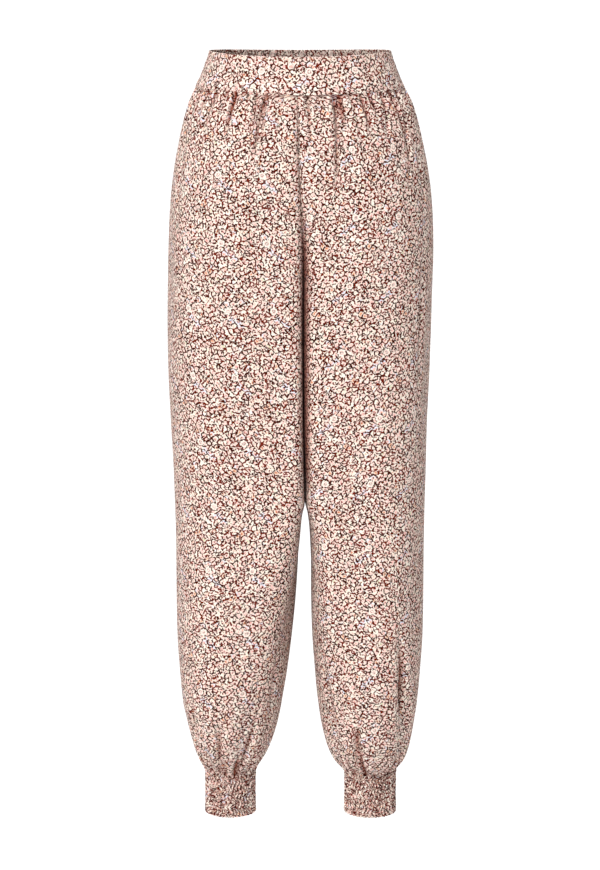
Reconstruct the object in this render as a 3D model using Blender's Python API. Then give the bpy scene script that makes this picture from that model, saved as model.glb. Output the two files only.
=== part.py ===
"""Harem pants, standing open as if filled out: a faced waistband with an elastic back, four gathered
leg panels with a low crotch, and two smocked ankle cuffs. Each sewn piece is its own closed solid.

Sizes are in millimetres and become metres at the very end. The origin is the middle of the waist, half
way up the waistband. +X is the wearer's left, +Y the wearer's back, and a drop is a distance below the
origin."""

import math
from bisect import bisect_right
from collections import namedtuple

import bmesh
import bpy
from mathutils import Vector

TO_METRES = 0.001

# ---- Driving sizes ----
PANEL_WALL = 1.4  # one layer of cloth with its seam allowances
BAND_WALL = 2.6  # faced and elasticated waistband
CUFF_WALL = 2.2  # cloth over rows of shirring elastic, between the ribs
SEAM_GAP = 0.3  # between neighbouring pieces, everywhere

BAND_TOP_DROP = -20.0  # the band's top edge at centre front
BAND_BOTTOM_DROP = 26.0  # the seam under the band at centre front
BAND_TOP_HALF_WIDTH = 116.5
BAND_TOP_HALF_DEPTH = 93.0
BAND_BOTTOM_HALF_WIDTH = 134.5
BAND_BOTTOM_HALF_DEPTH = 107.0
SIDE_RISE = 3.8  # the waistband sits this much higher at the side seams
SIDE_RISE_ENDS = 110.0  # drop at which the rise has faded out

CUFF_CENTRE_X = 94.0
CUFF_CENTRE_Y = 10.0
CUFF_RADIUS = 35.1
CUFF_WAIST = 0.6  # how much narrower the cuff is half way down
CUFF_TOP_DROP = 938.0
CUFF_BOTTOM_DROP = 996.5
CUFF_RIBS = 28
CUFF_RIB_DEPTH = 1.5
LEFT_CUFF_SPREAD = 0.8  # the left cuff is stretched this much wider, outwards

BACK_BAND_RIBS = 30
BACK_BAND_RIB_DEPTH = 1.3

# ---- The body and legs, one row a level ----
# drop        below the origin
# outer       x of the side seam
# lobe        x at which front and back stand furthest out: 0 at the waist, the leg's middle lower down
# front, back how far those stand before and behind the middle
# cleft_f/_b  how deep the centre front and centre back seams lie between the legs, above the crotch
# inner       x of the inseam, below the crotch
# corner      squareness of the inner half of the leg: 2 is an ellipse, 10 nearly a flat-sided box
# flank       the same for the outer half
# sway_f/_m   sideways shift of the fork between the legs, at its front lips and at its seam
# lean        sideways shift of the whole level
CROTCH_DROP = 555.0
Level = namedtuple(
    "Level",
    "drop outer lobe front back cleft_f cleft_b inner corner flank sway_f sway_m lean",
)
LEVELS = [
    Level(26, 134.0, 0, 106.5, 106.5, 0, 0, 0, 3.0, 2.05, -3.0, -3.0, 0.0),
    Level(34, 138.0, 5, 109.5, 110.5, 0.2, 0.2, 0, 3.0, 2.05, -3.0, -3.0, 0.3),
    Level(45, 143.4, 12, 112.5, 115.5, 0.5, 0.4, 0, 3.0, 2.1, -3.0, -3.0, 0.6),
    Level(62, 149.2, 20, 115.5, 121.5, 1.1, 0.8, 0, 3.0, 2.1, -3.0, -3.0, 0.8),
    Level(90, 156.4, 30, 118.5, 130.0, 2.4, 1.8, 0, 3.4, 2.15, -3.0, -3.0, 1.0),
    Level(125, 163.5, 40, 120.5, 136.0, 5.0, 3.5, 0, 4.4, 2.2, -2.0, -2.8, 1.3),
    Level(160, 168.2, 48, 121.5, 139.5, 9.0, 6.0, 0, 5.8, 2.25, 0.0, -2.0, 1.5),
    Level(200, 171.0, 56, 121.5, 140.0, 15, 10, 0, 7.4, 2.3, 2.4, -0.8, 1.4),
    Level(250, 172.2, 64, 120.0, 138.0, 25, 18, 0, 9.0, 2.3, 4.2, 0.5, 0.7),
    Level(310, 172.2, 71, 118.0, 134.0, 39, 31, 0, 10.0, 2.3, 5.6, 1.0, -0.6),
    Level(380, 171.2, 77, 115.5, 128.5, 55, 49, 0, 10.5, 2.3, 6.6, 1.6, -1.3),
    Level(450, 168.4, 81, 113.0, 124.0, 74, 70, 0, 10.0, 2.3, 7.2, 2.4, -1.3),
    Level(510, 166.2, 83, 111.0, 120.5, 94, 93, 0, 9.0, 2.3, 7.8, 3.3, -0.5),
    Level(540, 165.4, 84, 109.2, 118.2, 108, 108, 0, 8.0, 2.3, 8.2, 3.8, -0.3),
    Level(555, 165.0, 84, 108.5, 117.5, 113, 113, 0.15, 7.4, 2.3, 8.4, 4.2, -0.3),
    Level(572, 164.6, 84, 107.6, 116.2, 0, 0, 3.7, 6.6, 2.3, 8.3, 5.0, -0.2),
    Level(600, 164.1, 85, 106.5, 113.5, 0, 0, 6.3, 5.4, 2.3, 7.8, 6.0, 0.0),
    Level(640, 163.9, 87, 104.0, 110.0, 0, 0, 8.4, 4.2, 2.3, 6.9, 6.0, 0.0),
    Level(690, 163.9, 88, 100.5, 106.0, 0, 0, 10.0, 3.2, 2.3, 4.9, 4.7, 0.0),
    Level(740, 163.4, 89, 95.5, 101.0, 0, 0, 13.0, 2.7, 2.3, 3.0, 3.0, 0.0),
    Level(797, 160.3, 90, 87.0, 94.0, 0, 0, 18.6, 2.3, 2.25, 1.4, 1.4, 0.0),
    Level(839, 156.8, 91, 78.0, 87.5, 0, 0, 24.1, 2.1, 2.2, 0, 0, 0.0),
    Level(866, 151.8, 91, 69.0, 80.5, 0, 0, 29.2, 2.0, 2.1, 0, 0, 0.0),
    Level(890, 146.3, 92, 58.5, 72.0, 0, 0, 36.0, 2.0, 2.05, 0, 0, 0.0),
    Level(908, 141.5, 93, 48.0, 64.0, 0, 0, 42.8, 2.0, 2.0, 0, 0, 0.0),
    Level(922, 136.5, 94, 38.5, 56.5, 0, 0, 50.3, 2.0, 2.0, 0, 0, 0.0),
    Level(932, 132.0, 94, 30.5, 50.0, 0, 0, 56.4, 2.0, 2.0, 0, 0, 0.0),
    Level(938, 129.3, 94, 25.8, 45.8, 0, 0, 58.7, 2.0, 2.0, 0, 0, 0.0),
]
# The left leg has slid a little further down over its cuff and stands out more above it.
LEFT_ANKLE_FULLNESS = 4.2
LEFT_ANKLE_RANGE = (830.0, 918.0, 946.0)  # drops at which it begins, is fullest and would end

# ---- Rings of each panel, with columns for each top gather, for each cuff gather, or in all ----
Ring = namedtuple("Ring", "drop spacing columns")
TOP, PLAIN, CUFF = "top", "plain", "cuff"
RINGS = [
    *[Ring(d, TOP, 4) for d in (26.0, 33, 43, 58, 78)],
    *[Ring(d, TOP, 2) for d in (105, 140)],
    *[Ring(d, PLAIN, 16) for d in (180, 225, 272, 320, 370, 420, 465, 505, 535)],
    *[Ring(d, PLAIN, 16) for d in (CROTCH_DROP, 572, 598, 635, 680, 725, 770, 805)],
    *[Ring(d, CUFF, 4) for d in (836, 864, 889, 908, 922, 932, 938)],
]

# ---- Gathers under the waistband and over the cuffs ----
# count         folds along the panel's edge
# depth         of the deepest folds
# uneven        how far folds wander along the edge, in folds
Gathers = namedtuple("Gathers", "count depth uneven phase")
TOP_GATHERS = {
    "front_left": Gathers(12, 3.2, 0.30, 0.4),
    "front_right": Gathers(12, 3.0, 0.30, 2.1),
    "back_left": Gathers(14, 3.4, 0.26, 3.7),
    "back_right": Gathers(14, 3.4, 0.26, 5.2),
}
CUFF_GATHERS = {
    "front_left": Gathers(7, 3.4, 0.16, 1.3),
    "front_right": Gathers(7, 3.4, 0.16, 0.2),
    "back_left": Gathers(7, 3.2, 0.16, 2.6),
    "back_right": Gathers(7, 3.2, 0.16, 4.4),
}
GATHER_AT_SEAM = 0.35  # share of a fold's depth left where it is stitched down
GATHER_SWELL = 14.0  # distance from the seam at which a fold is at its deepest
TOP_GATHER_REACH = (50.0, 150.0)  # shortest and longest fold below the waistband
CUFF_GATHER_REACH = (45.0, 100.0)  # shortest and longest fold above a cuff
PANEL_WIDTH = 230.0  # of a leg panel at the thigh, by which the drape folds are sized
SEAM_REACH = 0.05  # share of a panel over which a seam holds its folds flat
CENTRE_SEAM_TURNS = (90.0, 200.0)  # drops between which the centre seam turns in between the legs

# ---- The large drape folds, one row a fold ----
# along, drift  place across the panel, 0 at the centre or inseam and 1 at the side seam, and its
#               change from the fold's top to its bottom
# depth         inwards; a negative one is a swell outwards
Fold = namedtuple("Fold", "panel along drift top bottom depth half_width")
FOLDS = [
    Fold("front_left", 0.23, 0.06, 26, 170, 3.6, 7.0),
    Fold("front_left", 0.74, 0.10, 26, 150, 3.0, 8.0),
    Fold("front_left", 0.30, 0.10, 150, 420, -3.0, 26.0),
    Fold("front_left", 0.86, 0.00, 230, 540, 4.0, 20.0),
    Fold("front_left", 0.84, -0.12, 560, 790, 4.0, 22.0),
    Fold("front_left", 0.66, 0.20, 770, 938, 9.0, 12.0),
    Fold("front_left", 0.20, 0.00, 800, 938, 4.5, 11.0),
    Fold("front_right", 0.28, 0.12, 26, 300, 4.5, 10.0),
    Fold("front_right", 0.84, 0.04, 150, 420, 3.0, 22.0),
    Fold("front_right", 0.16, 0.06, 600, 870, 6.0, 22.0),
    Fold("front_right", 0.90, -0.06, 840, 938, 5.0, 11.0),
    Fold("front_right", 0.38, 0.04, 800, 938, 5.0, 13.0),
    Fold("back_left", 0.30, 0.10, 26, 240, 4.0, 10.0),
    Fold("back_left", 0.62, 0.06, 300, 620, 6.0, 28.0),
    Fold("back_left", 0.76, -0.05, 580, 900, 6.0, 24.0),
    Fold("back_left", 0.35, 0.04, 760, 938, 7.0, 15.0),
    Fold("back_right", 0.26, 0.10, 26, 260, 4.0, 10.0),
    Fold("back_right", 0.66, 0.04, 320, 640, 6.0, 28.0),
    Fold("back_right", 0.72, -0.03, 610, 910, 6.0, 24.0),
    Fold("back_right", 0.30, 0.05, 780, 938, 7.0, 15.0),
]

PRINTED_VISCOSE = ((0.54, 0.38, 0.33, 1.0), 0.85)  # base colour and roughness


# ---- Shape functions ----
def smoothstep(value, start, end):
    share = min(1.0, max(0.0, (value - start) / (end - start)))
    return share * share * (3 - 2 * share)


def column(name):
    """A function of drop that runs smoothly through one column of LEVELS without overshooting."""
    rows = LEVELS
    if name in ("cleft_f", "cleft_b"):
        rows = [row for row in LEVELS if row.drop <= CROTCH_DROP]
    if name == "inner":
        rows = [row for row in LEVELS if row.drop >= CROTCH_DROP]
    drops = [row.drop for row in rows]
    values = [getattr(row, name) for row in rows]
    steps = [b - a for a, b in zip(drops, drops[1:])]
    rates = [(b - a) / step for a, b, step in zip(values, values[1:], steps)]
    inner_slopes = [
        0.0 if a * b <= 0 else 2 * a * b / (a + b) for a, b in zip(rates, rates[1:])
    ]
    slopes = [rates[0], *inner_slopes, rates[-1]]

    def at(drop):
        drop = min(drops[-1], max(drops[0], drop))
        i = max(k for k in range(len(steps)) if drops[k] <= drop)
        t = (drop - drops[i]) / steps[i]
        near = values[i] + t * t * (3 - 2 * t) * (values[i + 1] - values[i])
        bend = slopes[i] * t * (1 - t) ** 2 - slopes[i + 1] * t * t * (1 - t)
        return near + bend * steps[i]

    return at


SHAPE = {name: column(name) for name in Level._fields[1:]}


def quarter_curve(reach, depth, power, start, end, steps):
    """Points of a superellipse quadrant between two directions, in radians from straight ahead."""
    points = []
    for i in range(steps + 1):
        turn = start + (end - start) * i / steps
        s, c = math.sin(turn), math.cos(turn)
        size = (abs(s) ** power + abs(c) ** power) ** (1 / power)
        points.append((reach * s / size, depth * c / size))
    return points


CURVE_STEPS = 90
BEND_LENGTH = 55.0  # length of straight line that counts as much as a radian of bend


def half_section(drop, back):
    """The panel's line at one drop: (x, y) points from the centre seam or inseam to the side seam."""
    at = {name: curve(drop) for name, curve in SHAPE.items()}
    middle = (at["back"] - at["front"]) / 2
    depth = (at["back"] + at["front"]) / 2
    outer_reach = at["outer"] - at["lobe"]
    edge = SEAM_GAP / 2
    points = []
    first = edge / outer_reach
    if at["lobe"] > edge:
        power = at["corner"]
        cleft = at["cleft_b" if back else "cleft_f"] if drop < CROTCH_DROP else depth
        forward = max(0.0, 1 - cleft / depth)
        sideways = (1 - forward**power) ** (1 / power)
        inner_reach = (at["lobe"] - max(at["inner"], edge)) / sideways
        start = max(-math.atan2(sideways, forward), -math.pi / 2 + edge / depth)
        points = quarter_curve(inner_reach, depth, power, start, 0.0, CURVE_STEPS)[:-1]
        first = 0.0
    last = math.pi / 2 - edge / depth
    points += quarter_curve(outer_reach, depth, at["flank"], first, last, CURVE_STEPS)
    facing = 1 if back else -1
    return [(at["lobe"] + x, middle + facing * y) for x, y in points]


def running(values):
    """Running totals, from nothing."""
    totals = [0.0]
    for value in values:
        totals.append(totals[-1] + value)
    return totals


def interpolate(value, places, results):
    """The result at a value, in straight lines between rising places."""
    i = min(max(bisect_right(places, value) - 1, 0), len(places) - 2)
    t = (value - places[i]) / (places[i + 1] - places[i])
    return results[i] + (results[i + 1] - results[i]) * min(1.0, max(0.0, t))


HALVINGS = 40
SECTIONS = {}


def section(drop, back):
    """The half section at a drop as shares of its length, with the x and y at each."""
    key = (round(drop, 3), back)
    if key not in SECTIONS:
        points = half_section(drop, back)
        lengths = running(math.dist(a, b) for a, b in zip(points, points[1:]))
        shares = [length / lengths[-1] for length in lengths]
        SECTIONS[key] = (shares, [x for x, _ in points], [y for _, y in points])
    return SECTIONS[key]


def even_bends(drop, back, columns):
    """Shares for the columns of a plain ring, closer together where its line bends."""
    shares, xs, ys = section(drop, back)
    steps = list(zip(xs, ys))
    ways = [math.atan2(b[1] - a[1], b[0] - a[0]) for a, b in zip(steps, steps[1:])]
    bends = [abs(math.remainder(b - a, 2 * math.pi)) for a, b in zip(ways, ways[1:])]
    spans = [math.dist(a, b) for a, b in zip(steps, steps[1:])]
    effort = running(span + BEND_LENGTH * bend for span, bend in zip(spans, [0.0, *bends]))
    return [interpolate(effort[-1] * i / columns, effort, shares) for i in range(columns + 1)]


def smooth_point(drop, share, back):
    """A point of the unfolded left half of the garment."""
    shares, xs, ys = section(drop, back)
    return Vector((interpolate(share, shares, xs), interpolate(share, shares, ys), -drop))


def outward(drop, share, back):
    """The unfolded surface's normal, pointing out of the garment."""
    across = smooth_point(drop, min(1, share + 0.01), back)
    across -= smooth_point(drop, max(0, share - 0.01), back)
    last = LEVELS[-1].drop
    down = smooth_point(min(last, drop + 3), share, back)
    down -= smooth_point(max(LEVELS[0].drop, drop - 3), share, back)
    normal = across.cross(down).normalized()
    centre_y = (SHAPE["back"](drop) - SHAPE["front"](drop)) / 2
    centre = Vector((SHAPE["lobe"](drop), centre_y, -drop))
    if normal.dot(smooth_point(drop, share, back) - centre) < 0:
        normal.negate()
    # High up the centre seam lies flat, so its edges stay square to it.
    square = (1 - smoothstep(drop, *CENTRE_SEAM_TURNS)) * (1 - smoothstep(share, 0, SEAM_REACH))
    normal.x *= 1 - square
    return normal.normalized()


def fold_number(gathers, share):
    """Which gather a place along the panel belongs to: whole at a trough, and a half at a crest."""
    wander = 0.6 * math.sin(4 * math.pi * share + gathers.phase)
    wander += 0.4 * math.sin(6 * math.pi * share - 2 * gathers.phase)
    start = 0.6 * math.sin(gathers.phase) - 0.4 * math.sin(2 * gathers.phase)
    return gathers.count * share + gathers.uneven * (wander - start)


def share_of_fold(gathers, number):
    """The place along the panel of a fold number, the other way round from fold_number."""
    low, high = 0.0, 1.0
    for _ in range(HALVINGS):
        middle = (low + high) / 2
        if fold_number(gathers, middle) < number:
            low = middle
        else:
            high = middle
    return (low + high) / 2


def gather_trough(gathers, reach, share, distance):
    """Depth of the gathers at a distance from their seam. No two neighbours are alike."""
    number = fold_number(gathers, share)
    which = round(number)
    valley = (1 + math.cos(2 * math.pi * number)) / 2
    strength = 0.68 + 0.32 * math.sin(2.4 * which + gathers.phase)
    length = 0.5 + 0.5 * math.sin(1.7 * which + 2 * gathers.phase)
    length = reach[0] + (reach[1] - reach[0]) * length
    rise = GATHER_AT_SEAM + (1 - GATHER_AT_SEAM) * smoothstep(distance, 0, GATHER_SWELL)
    fade = 1 - smoothstep(distance, GATHER_SWELL, length)
    return gathers.depth * valley * strength * rise * fade


def fold_trough(fold, share, drop, panel_width):
    """Depth of one large drape fold."""
    if not fold.top <= drop <= fold.bottom:
        return 0.0
    way = (drop - fold.top) / (fold.bottom - fold.top)
    starts_at_band = fold.top <= BAND_BOTTOM_DROP
    ends_at_cuff = fold.bottom >= CUFF_TOP_DROP
    body = 0.3 + 0.7 * smoothstep(way, 0, 0.15) if starts_at_band else smoothstep(way, 0, 0.45)
    body *= 1 - (0.75 if ends_at_cuff else 1.0) * smoothstep(way, 0.7 if ends_at_cuff else 0.45, 1.0)
    off = (share - fold.along - fold.drift * way) * panel_width / fold.half_width
    return fold.depth * body * math.exp(-off * off)


def fullness(drop):
    """How much further out the left leg stands just above its cuff."""
    start, peak, end = LEFT_ANKLE_RANGE
    return LEFT_ANKLE_FULLNESS * smoothstep(drop, start, peak) * (1 - smoothstep(drop, peak, end))


def trough(panel, share, drop):
    """How far the cloth lies inside the smooth surface. Seams stay smooth, being stiffer."""
    depth = gather_trough(
        TOP_GATHERS[panel], TOP_GATHER_REACH, share, drop - BAND_BOTTOM_DROP
    )
    above_cuff = CUFF_TOP_DROP - drop
    if above_cuff < CUFF_GATHER_REACH[1]:
        depth += gather_trough(CUFF_GATHERS[panel], CUFF_GATHER_REACH, share, above_cuff)
    depth += sum(
        fold_trough(fold, share, drop, PANEL_WIDTH) for fold in FOLDS if fold.panel == panel
    )
    depth *= smoothstep(min(share, 1 - share), 0, SEAM_REACH)
    return depth - (fullness(drop) if panel.endswith("left") else 0.0)


def lift_sides(point, half_width, drop):
    """Raises the waist at the side seams."""
    rise = SIDE_RISE * (1 - smoothstep(drop, BAND_BOTTOM_DROP, SIDE_RISE_ENDS))
    point.z += rise * min(1.0, abs(point.x) / half_width) ** 2


def sway(point, drop):
    """Shifts the fork between the legs sideways, most at its front lips, and leaves the sides alone."""
    at = {name: SHAPE[name](drop) for name in ("outer", "front", "sway_f", "sway_m", "lean")}
    hold = max(0.0, 1 - (point.x / at["outer"]) ** 2) ** 2
    towards_front = min(1.0, max(0.0, -point.y / at["front"]))
    point.x += at["lean"] + hold * (
        at["sway_m"] + (at["sway_f"] - at["sway_m"]) * towards_front
    )


# ---- Solids ----
def shares_of(ring, panel):
    """Where the ring's columns stand along the panel, from its centre edge to its side edge."""
    if ring.spacing == PLAIN:
        return even_bends(ring.drop, panel.startswith("back"), ring.columns)
    gathers = (TOP_GATHERS if ring.spacing == TOP else CUFF_GATHERS)[panel]
    steps = range(1, gathers.count * ring.columns)
    return [0.0, *(share_of_fold(gathers, i / ring.columns) for i in steps), 1.0]


def zip_rows(bm, upper, lower):
    """Triangles between two rows of (share, vertex), which may hold different numbers of points."""
    if len(upper) == len(lower):
        lower = [(share, vertex) for (share, _), (_, vertex) in zip(upper, lower)]
    i = j = 0
    while i < len(upper) - 1 or j < len(lower) - 1:
        next_up = upper[i + 1][0] if i < len(upper) - 1 else math.inf
        next_low = lower[j + 1][0] if j < len(lower) - 1 else math.inf
        if next_up <= next_low:
            bm.faces.new((upper[i][1], upper[i + 1][1], lower[j][1]))
            i += 1
        else:
            bm.faces.new((upper[i][1], lower[j + 1][1], lower[j][1]))
            j += 1


def add_node(name, bm):
    """Turns a closed mesh in millimetres into a named, smooth-shaded object in metres."""
    bmesh.ops.recalc_face_normals(bm, faces=bm.faces)
    bmesh.ops.scale(bm, vec=(TO_METRES,) * 3, verts=bm.verts)
    mesh = bpy.data.meshes.new(name)
    bm.to_mesh(mesh)
    bm.free()
    mesh.shade_smooth()
    mesh.set_sharp_from_angle(angle=math.radians(50))
    material = bpy.data.materials.new(name)
    material.use_nodes = True
    shader = material.node_tree.nodes["Principled BSDF"]
    shader.inputs["Base Color"].default_value = PRINTED_VISCOSE[0]
    shader.inputs["Roughness"].default_value = PRINTED_VISCOSE[1]
    mesh.materials.append(material)
    bpy.context.scene.collection.objects.link(bpy.data.objects.new(name, mesh))


def add_wall(name, outer_rows, inner_rows, closed=False):
    """A wall between two sheets of rows, each row a list of (share, point). Closed rows run all round."""
    bm = bmesh.new()
    sheets = []
    for rows in (outer_rows, inner_rows):
        sheet = []
        for row in rows:
            vertices = [(share, bm.verts.new(point)) for share, point in row]
            sheet.append(vertices + [(1.0, vertices[0][1])] if closed else vertices)
        sheets.append(sheet)
    outer, inner = sheets
    for sheet in sheets:
        for upper, lower in zip(sheet, sheet[1:]):
            zip_rows(bm, upper, lower)
    zip_rows(bm, outer[0], inner[0])
    zip_rows(bm, outer[-1], inner[-1])
    if not closed:
        for end in (0, -1):
            outer_edge = [(i / (len(outer) - 1), row[end][1]) for i, row in enumerate(outer)]
            inner_edge = [(i / (len(inner) - 1), row[end][1]) for i, row in enumerate(inner)]
            zip_rows(bm, outer_edge, inner_edge)
    add_node(name, bm)


def panel_point(panel, drop, share, inside):
    """A point of a leg panel's outer or inner face, folded and in place."""
    half, side = panel.split("_")
    back = half == "back"
    depth = trough(panel, share, drop) + (PANEL_WALL if inside else 0.0)
    point = smooth_point(drop, share, back) - depth * outward(drop, share, back)
    point.z = min(point.z, -BAND_BOTTOM_DROP) if drop == BAND_BOTTOM_DROP else point.z
    point.z = max(point.z, -CUFF_TOP_DROP) if drop == CUFF_TOP_DROP else point.z
    lift_sides(point, BAND_BOTTOM_HALF_WIDTH, drop)
    if side == "right":
        point.x = -point.x
    sway(point, drop)
    return point


def add_panel(panel):
    """One leg panel: from the waist seam to the cuff seam, and from centre seam and inseam to side seam."""
    rows = {False: [], True: []}
    for ring in RINGS:
        for inside, sheet in rows.items():
            shares = shares_of(ring, panel)
            sheet.append([(s, panel_point(panel, ring.drop, s, inside)) for s in shares])
    add_wall("panel_" + panel, rows[False], rows[True])


def band_point(turn, drop, depth_in):
    """A point of the waistband. Turn runs from the left side seam, 0, over the front or back to pi."""
    top, bottom = BAND_TOP_DROP, BAND_BOTTOM_DROP
    down = (drop - top) / (bottom - top)
    half_width = BAND_TOP_HALF_WIDTH + (BAND_BOTTOM_HALF_WIDTH - BAND_TOP_HALF_WIDTH) * down
    half_depth = BAND_TOP_HALF_DEPTH + (BAND_BOTTOM_HALF_DEPTH - BAND_TOP_HALF_DEPTH) * down
    normal = Vector((math.cos(turn) / half_width, math.sin(turn) / half_depth)).normalized()
    x = half_width * math.cos(turn) - depth_in * normal.x
    y = half_depth * math.sin(turn) - depth_in * normal.y
    point = Vector((x, y, -drop))
    lift_sides(point, half_width, drop)
    return point


BAND_ROWS = 3
BAND_COLUMNS = 24


def add_band(name, facing, ribs, rib_depth):
    """Half of the waistband, from side seam to side seam, ribbed outside where elastic gathers it."""
    seam = SEAM_GAP / 2 / BAND_TOP_HALF_DEPTH
    bottom = BAND_BOTTOM_DROP - SEAM_GAP
    drops = [
        BAND_TOP_DROP + (bottom - BAND_TOP_DROP) * i / (BAND_ROWS - 1)
        for i in range(BAND_ROWS)
    ]

    def row(drop, columns, inside):
        points = []
        for i in range(columns + 1):
            share = i / columns
            turn = facing * (seam + (math.pi - 2 * seam) * share)
            # Wider ribs run up to the top edge; between them the elastic draws the cloth in.
            rib = rib_depth * (0.5 - 0.5 * math.cos(2 * math.pi * ribs * share))
            points.append((share, band_point(turn, drop, BAND_WALL if inside else rib)))
        return points

    outer_columns = ribs * 4 if ribs else BAND_COLUMNS
    outer = [row(drop, outer_columns, False) for drop in drops]
    inner = [row(drop, BAND_COLUMNS, True) for drop in (drops[0], drops[-1])]
    add_wall(name, outer, inner)


CUFF_ROWS = 3
CUFF_INNER_COLUMNS = 32


def add_cuff(name, side):
    """A smocked tube: upright ribs outside, over a plain round inside."""
    top = CUFF_TOP_DROP + SEAM_GAP
    spread = LEFT_CUFF_SPREAD if side > 0 else 0.0

    def ring(row, columns, inside):
        down = row / (CUFF_ROWS - 1)
        waist = CUFF_WAIST * math.sin(math.pi * down)
        points = []
        for i in range(columns):
            share = i / columns
            turn = 2 * math.pi * share
            rib = CUFF_RIB_DEPTH * (0.5 - 0.5 * math.cos(2 * math.pi * CUFF_RIBS * share))
            radius = CUFF_RADIUS + spread - waist
            radius -= CUFF_WALL + CUFF_RIB_DEPTH if inside else rib
            x = side * (CUFF_CENTRE_X + spread + radius * math.cos(turn))
            y = CUFF_CENTRE_Y + radius * math.sin(turn)
            z = -(top + (CUFF_BOTTOM_DROP - top) * down)
            points.append((share, Vector((x, y, z))))
        return points

    outer = [ring(row, CUFF_RIBS * 4, False) for row in range(CUFF_ROWS)]
    inner = [ring(row, CUFF_INNER_COLUMNS, True) for row in range(CUFF_ROWS)]
    add_wall(name, outer, inner, closed=True)


def clear_scene():
    for obj in list(bpy.data.objects):
        bpy.data.objects.remove(obj)


clear_scene()
FRONT, BACK = -1, 1
add_band("waistband_front", FRONT, 0, 0.0)
add_band("waistband_back", BACK, BACK_BAND_RIBS, BACK_BAND_RIB_DEPTH)
for panel_name in TOP_GATHERS:
    add_panel(panel_name)
add_cuff("cuff_left", 1)
add_cuff("cuff_right", -1)
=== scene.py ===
# %% [markdown]
# # Harem pants in a small floral print
#
# Loose trousers with a low crotch, sewn from printed viscose. The waistband is faced and flat in front and
# drawn in by elastic behind. Four leg panels are gathered into it, and at the ankles into two cuffs that
# are shirred with rows of elastic thread. The pants stand open, as if worn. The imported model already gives
# each sewn piece its size and place. This script gives the cloth its look: thin shells with their gathers
# and folds, the print and the weave, and the sewing.

import functools
import math
from collections import namedtuple

import bpy
import numpy as np
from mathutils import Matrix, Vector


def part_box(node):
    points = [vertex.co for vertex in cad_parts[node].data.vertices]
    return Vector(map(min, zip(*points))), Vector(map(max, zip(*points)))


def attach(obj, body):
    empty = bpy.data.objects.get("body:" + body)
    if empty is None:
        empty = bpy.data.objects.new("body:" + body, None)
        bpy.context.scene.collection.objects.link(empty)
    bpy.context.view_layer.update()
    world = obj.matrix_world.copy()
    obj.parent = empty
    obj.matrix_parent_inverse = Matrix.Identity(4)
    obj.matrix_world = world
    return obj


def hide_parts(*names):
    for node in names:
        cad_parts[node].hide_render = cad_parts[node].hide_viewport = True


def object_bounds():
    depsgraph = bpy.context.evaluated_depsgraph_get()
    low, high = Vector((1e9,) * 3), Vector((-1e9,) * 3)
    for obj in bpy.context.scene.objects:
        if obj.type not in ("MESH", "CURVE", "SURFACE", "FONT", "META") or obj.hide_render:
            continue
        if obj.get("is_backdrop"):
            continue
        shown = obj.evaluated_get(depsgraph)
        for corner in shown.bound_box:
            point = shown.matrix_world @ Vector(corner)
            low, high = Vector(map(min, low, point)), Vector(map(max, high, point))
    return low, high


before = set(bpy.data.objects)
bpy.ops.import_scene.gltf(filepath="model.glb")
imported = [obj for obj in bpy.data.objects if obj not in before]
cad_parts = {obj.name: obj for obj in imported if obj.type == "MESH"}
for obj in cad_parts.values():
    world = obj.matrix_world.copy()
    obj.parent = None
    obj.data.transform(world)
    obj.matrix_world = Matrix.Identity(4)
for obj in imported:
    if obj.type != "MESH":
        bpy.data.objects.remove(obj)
CAD_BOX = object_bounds()
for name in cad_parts:
    low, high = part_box(name)
    print(f"{name}: {[round(1000 * (b - a)) for a, b in zip(low, high)]} mm")


# %% [markdown]
# ## Sizes
#
# All sizes are in millimetres until a mesh is made. A drop is a distance below the middle of the waist, +X
# is the wearer's left and +Y the back. One table gives the smooth body at 28 levels: how far the side seam
# stands out, how deep the cloth goes in between the legs, and how square each half of the section is.
# A table with named columns is easier to fit than a sculpted mesh, and one number can be changed at a time.

# %% The smooth body and legs, one row a level
MM = 0.001
TURN = 2 * math.pi
CLOTH = 0.6  # thickness of the visual cloth
SEAM_GAP = 0.05  # between neighbouring pieces at their seams
BAND_TOP_DROP = -20.0
BAND_BOTTOM_DROP = 26.0
CUFF_TOP_DROP = 938.0
CUFF_BOTTOM_DROP = 996.5
CROTCH_DROP = 555.0
BAND_TOP = np.array((116.5, 93.0))  # half the width and half the depth of its ellipse
BAND_BOTTOM = np.array((134.5, 107.0))

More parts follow.
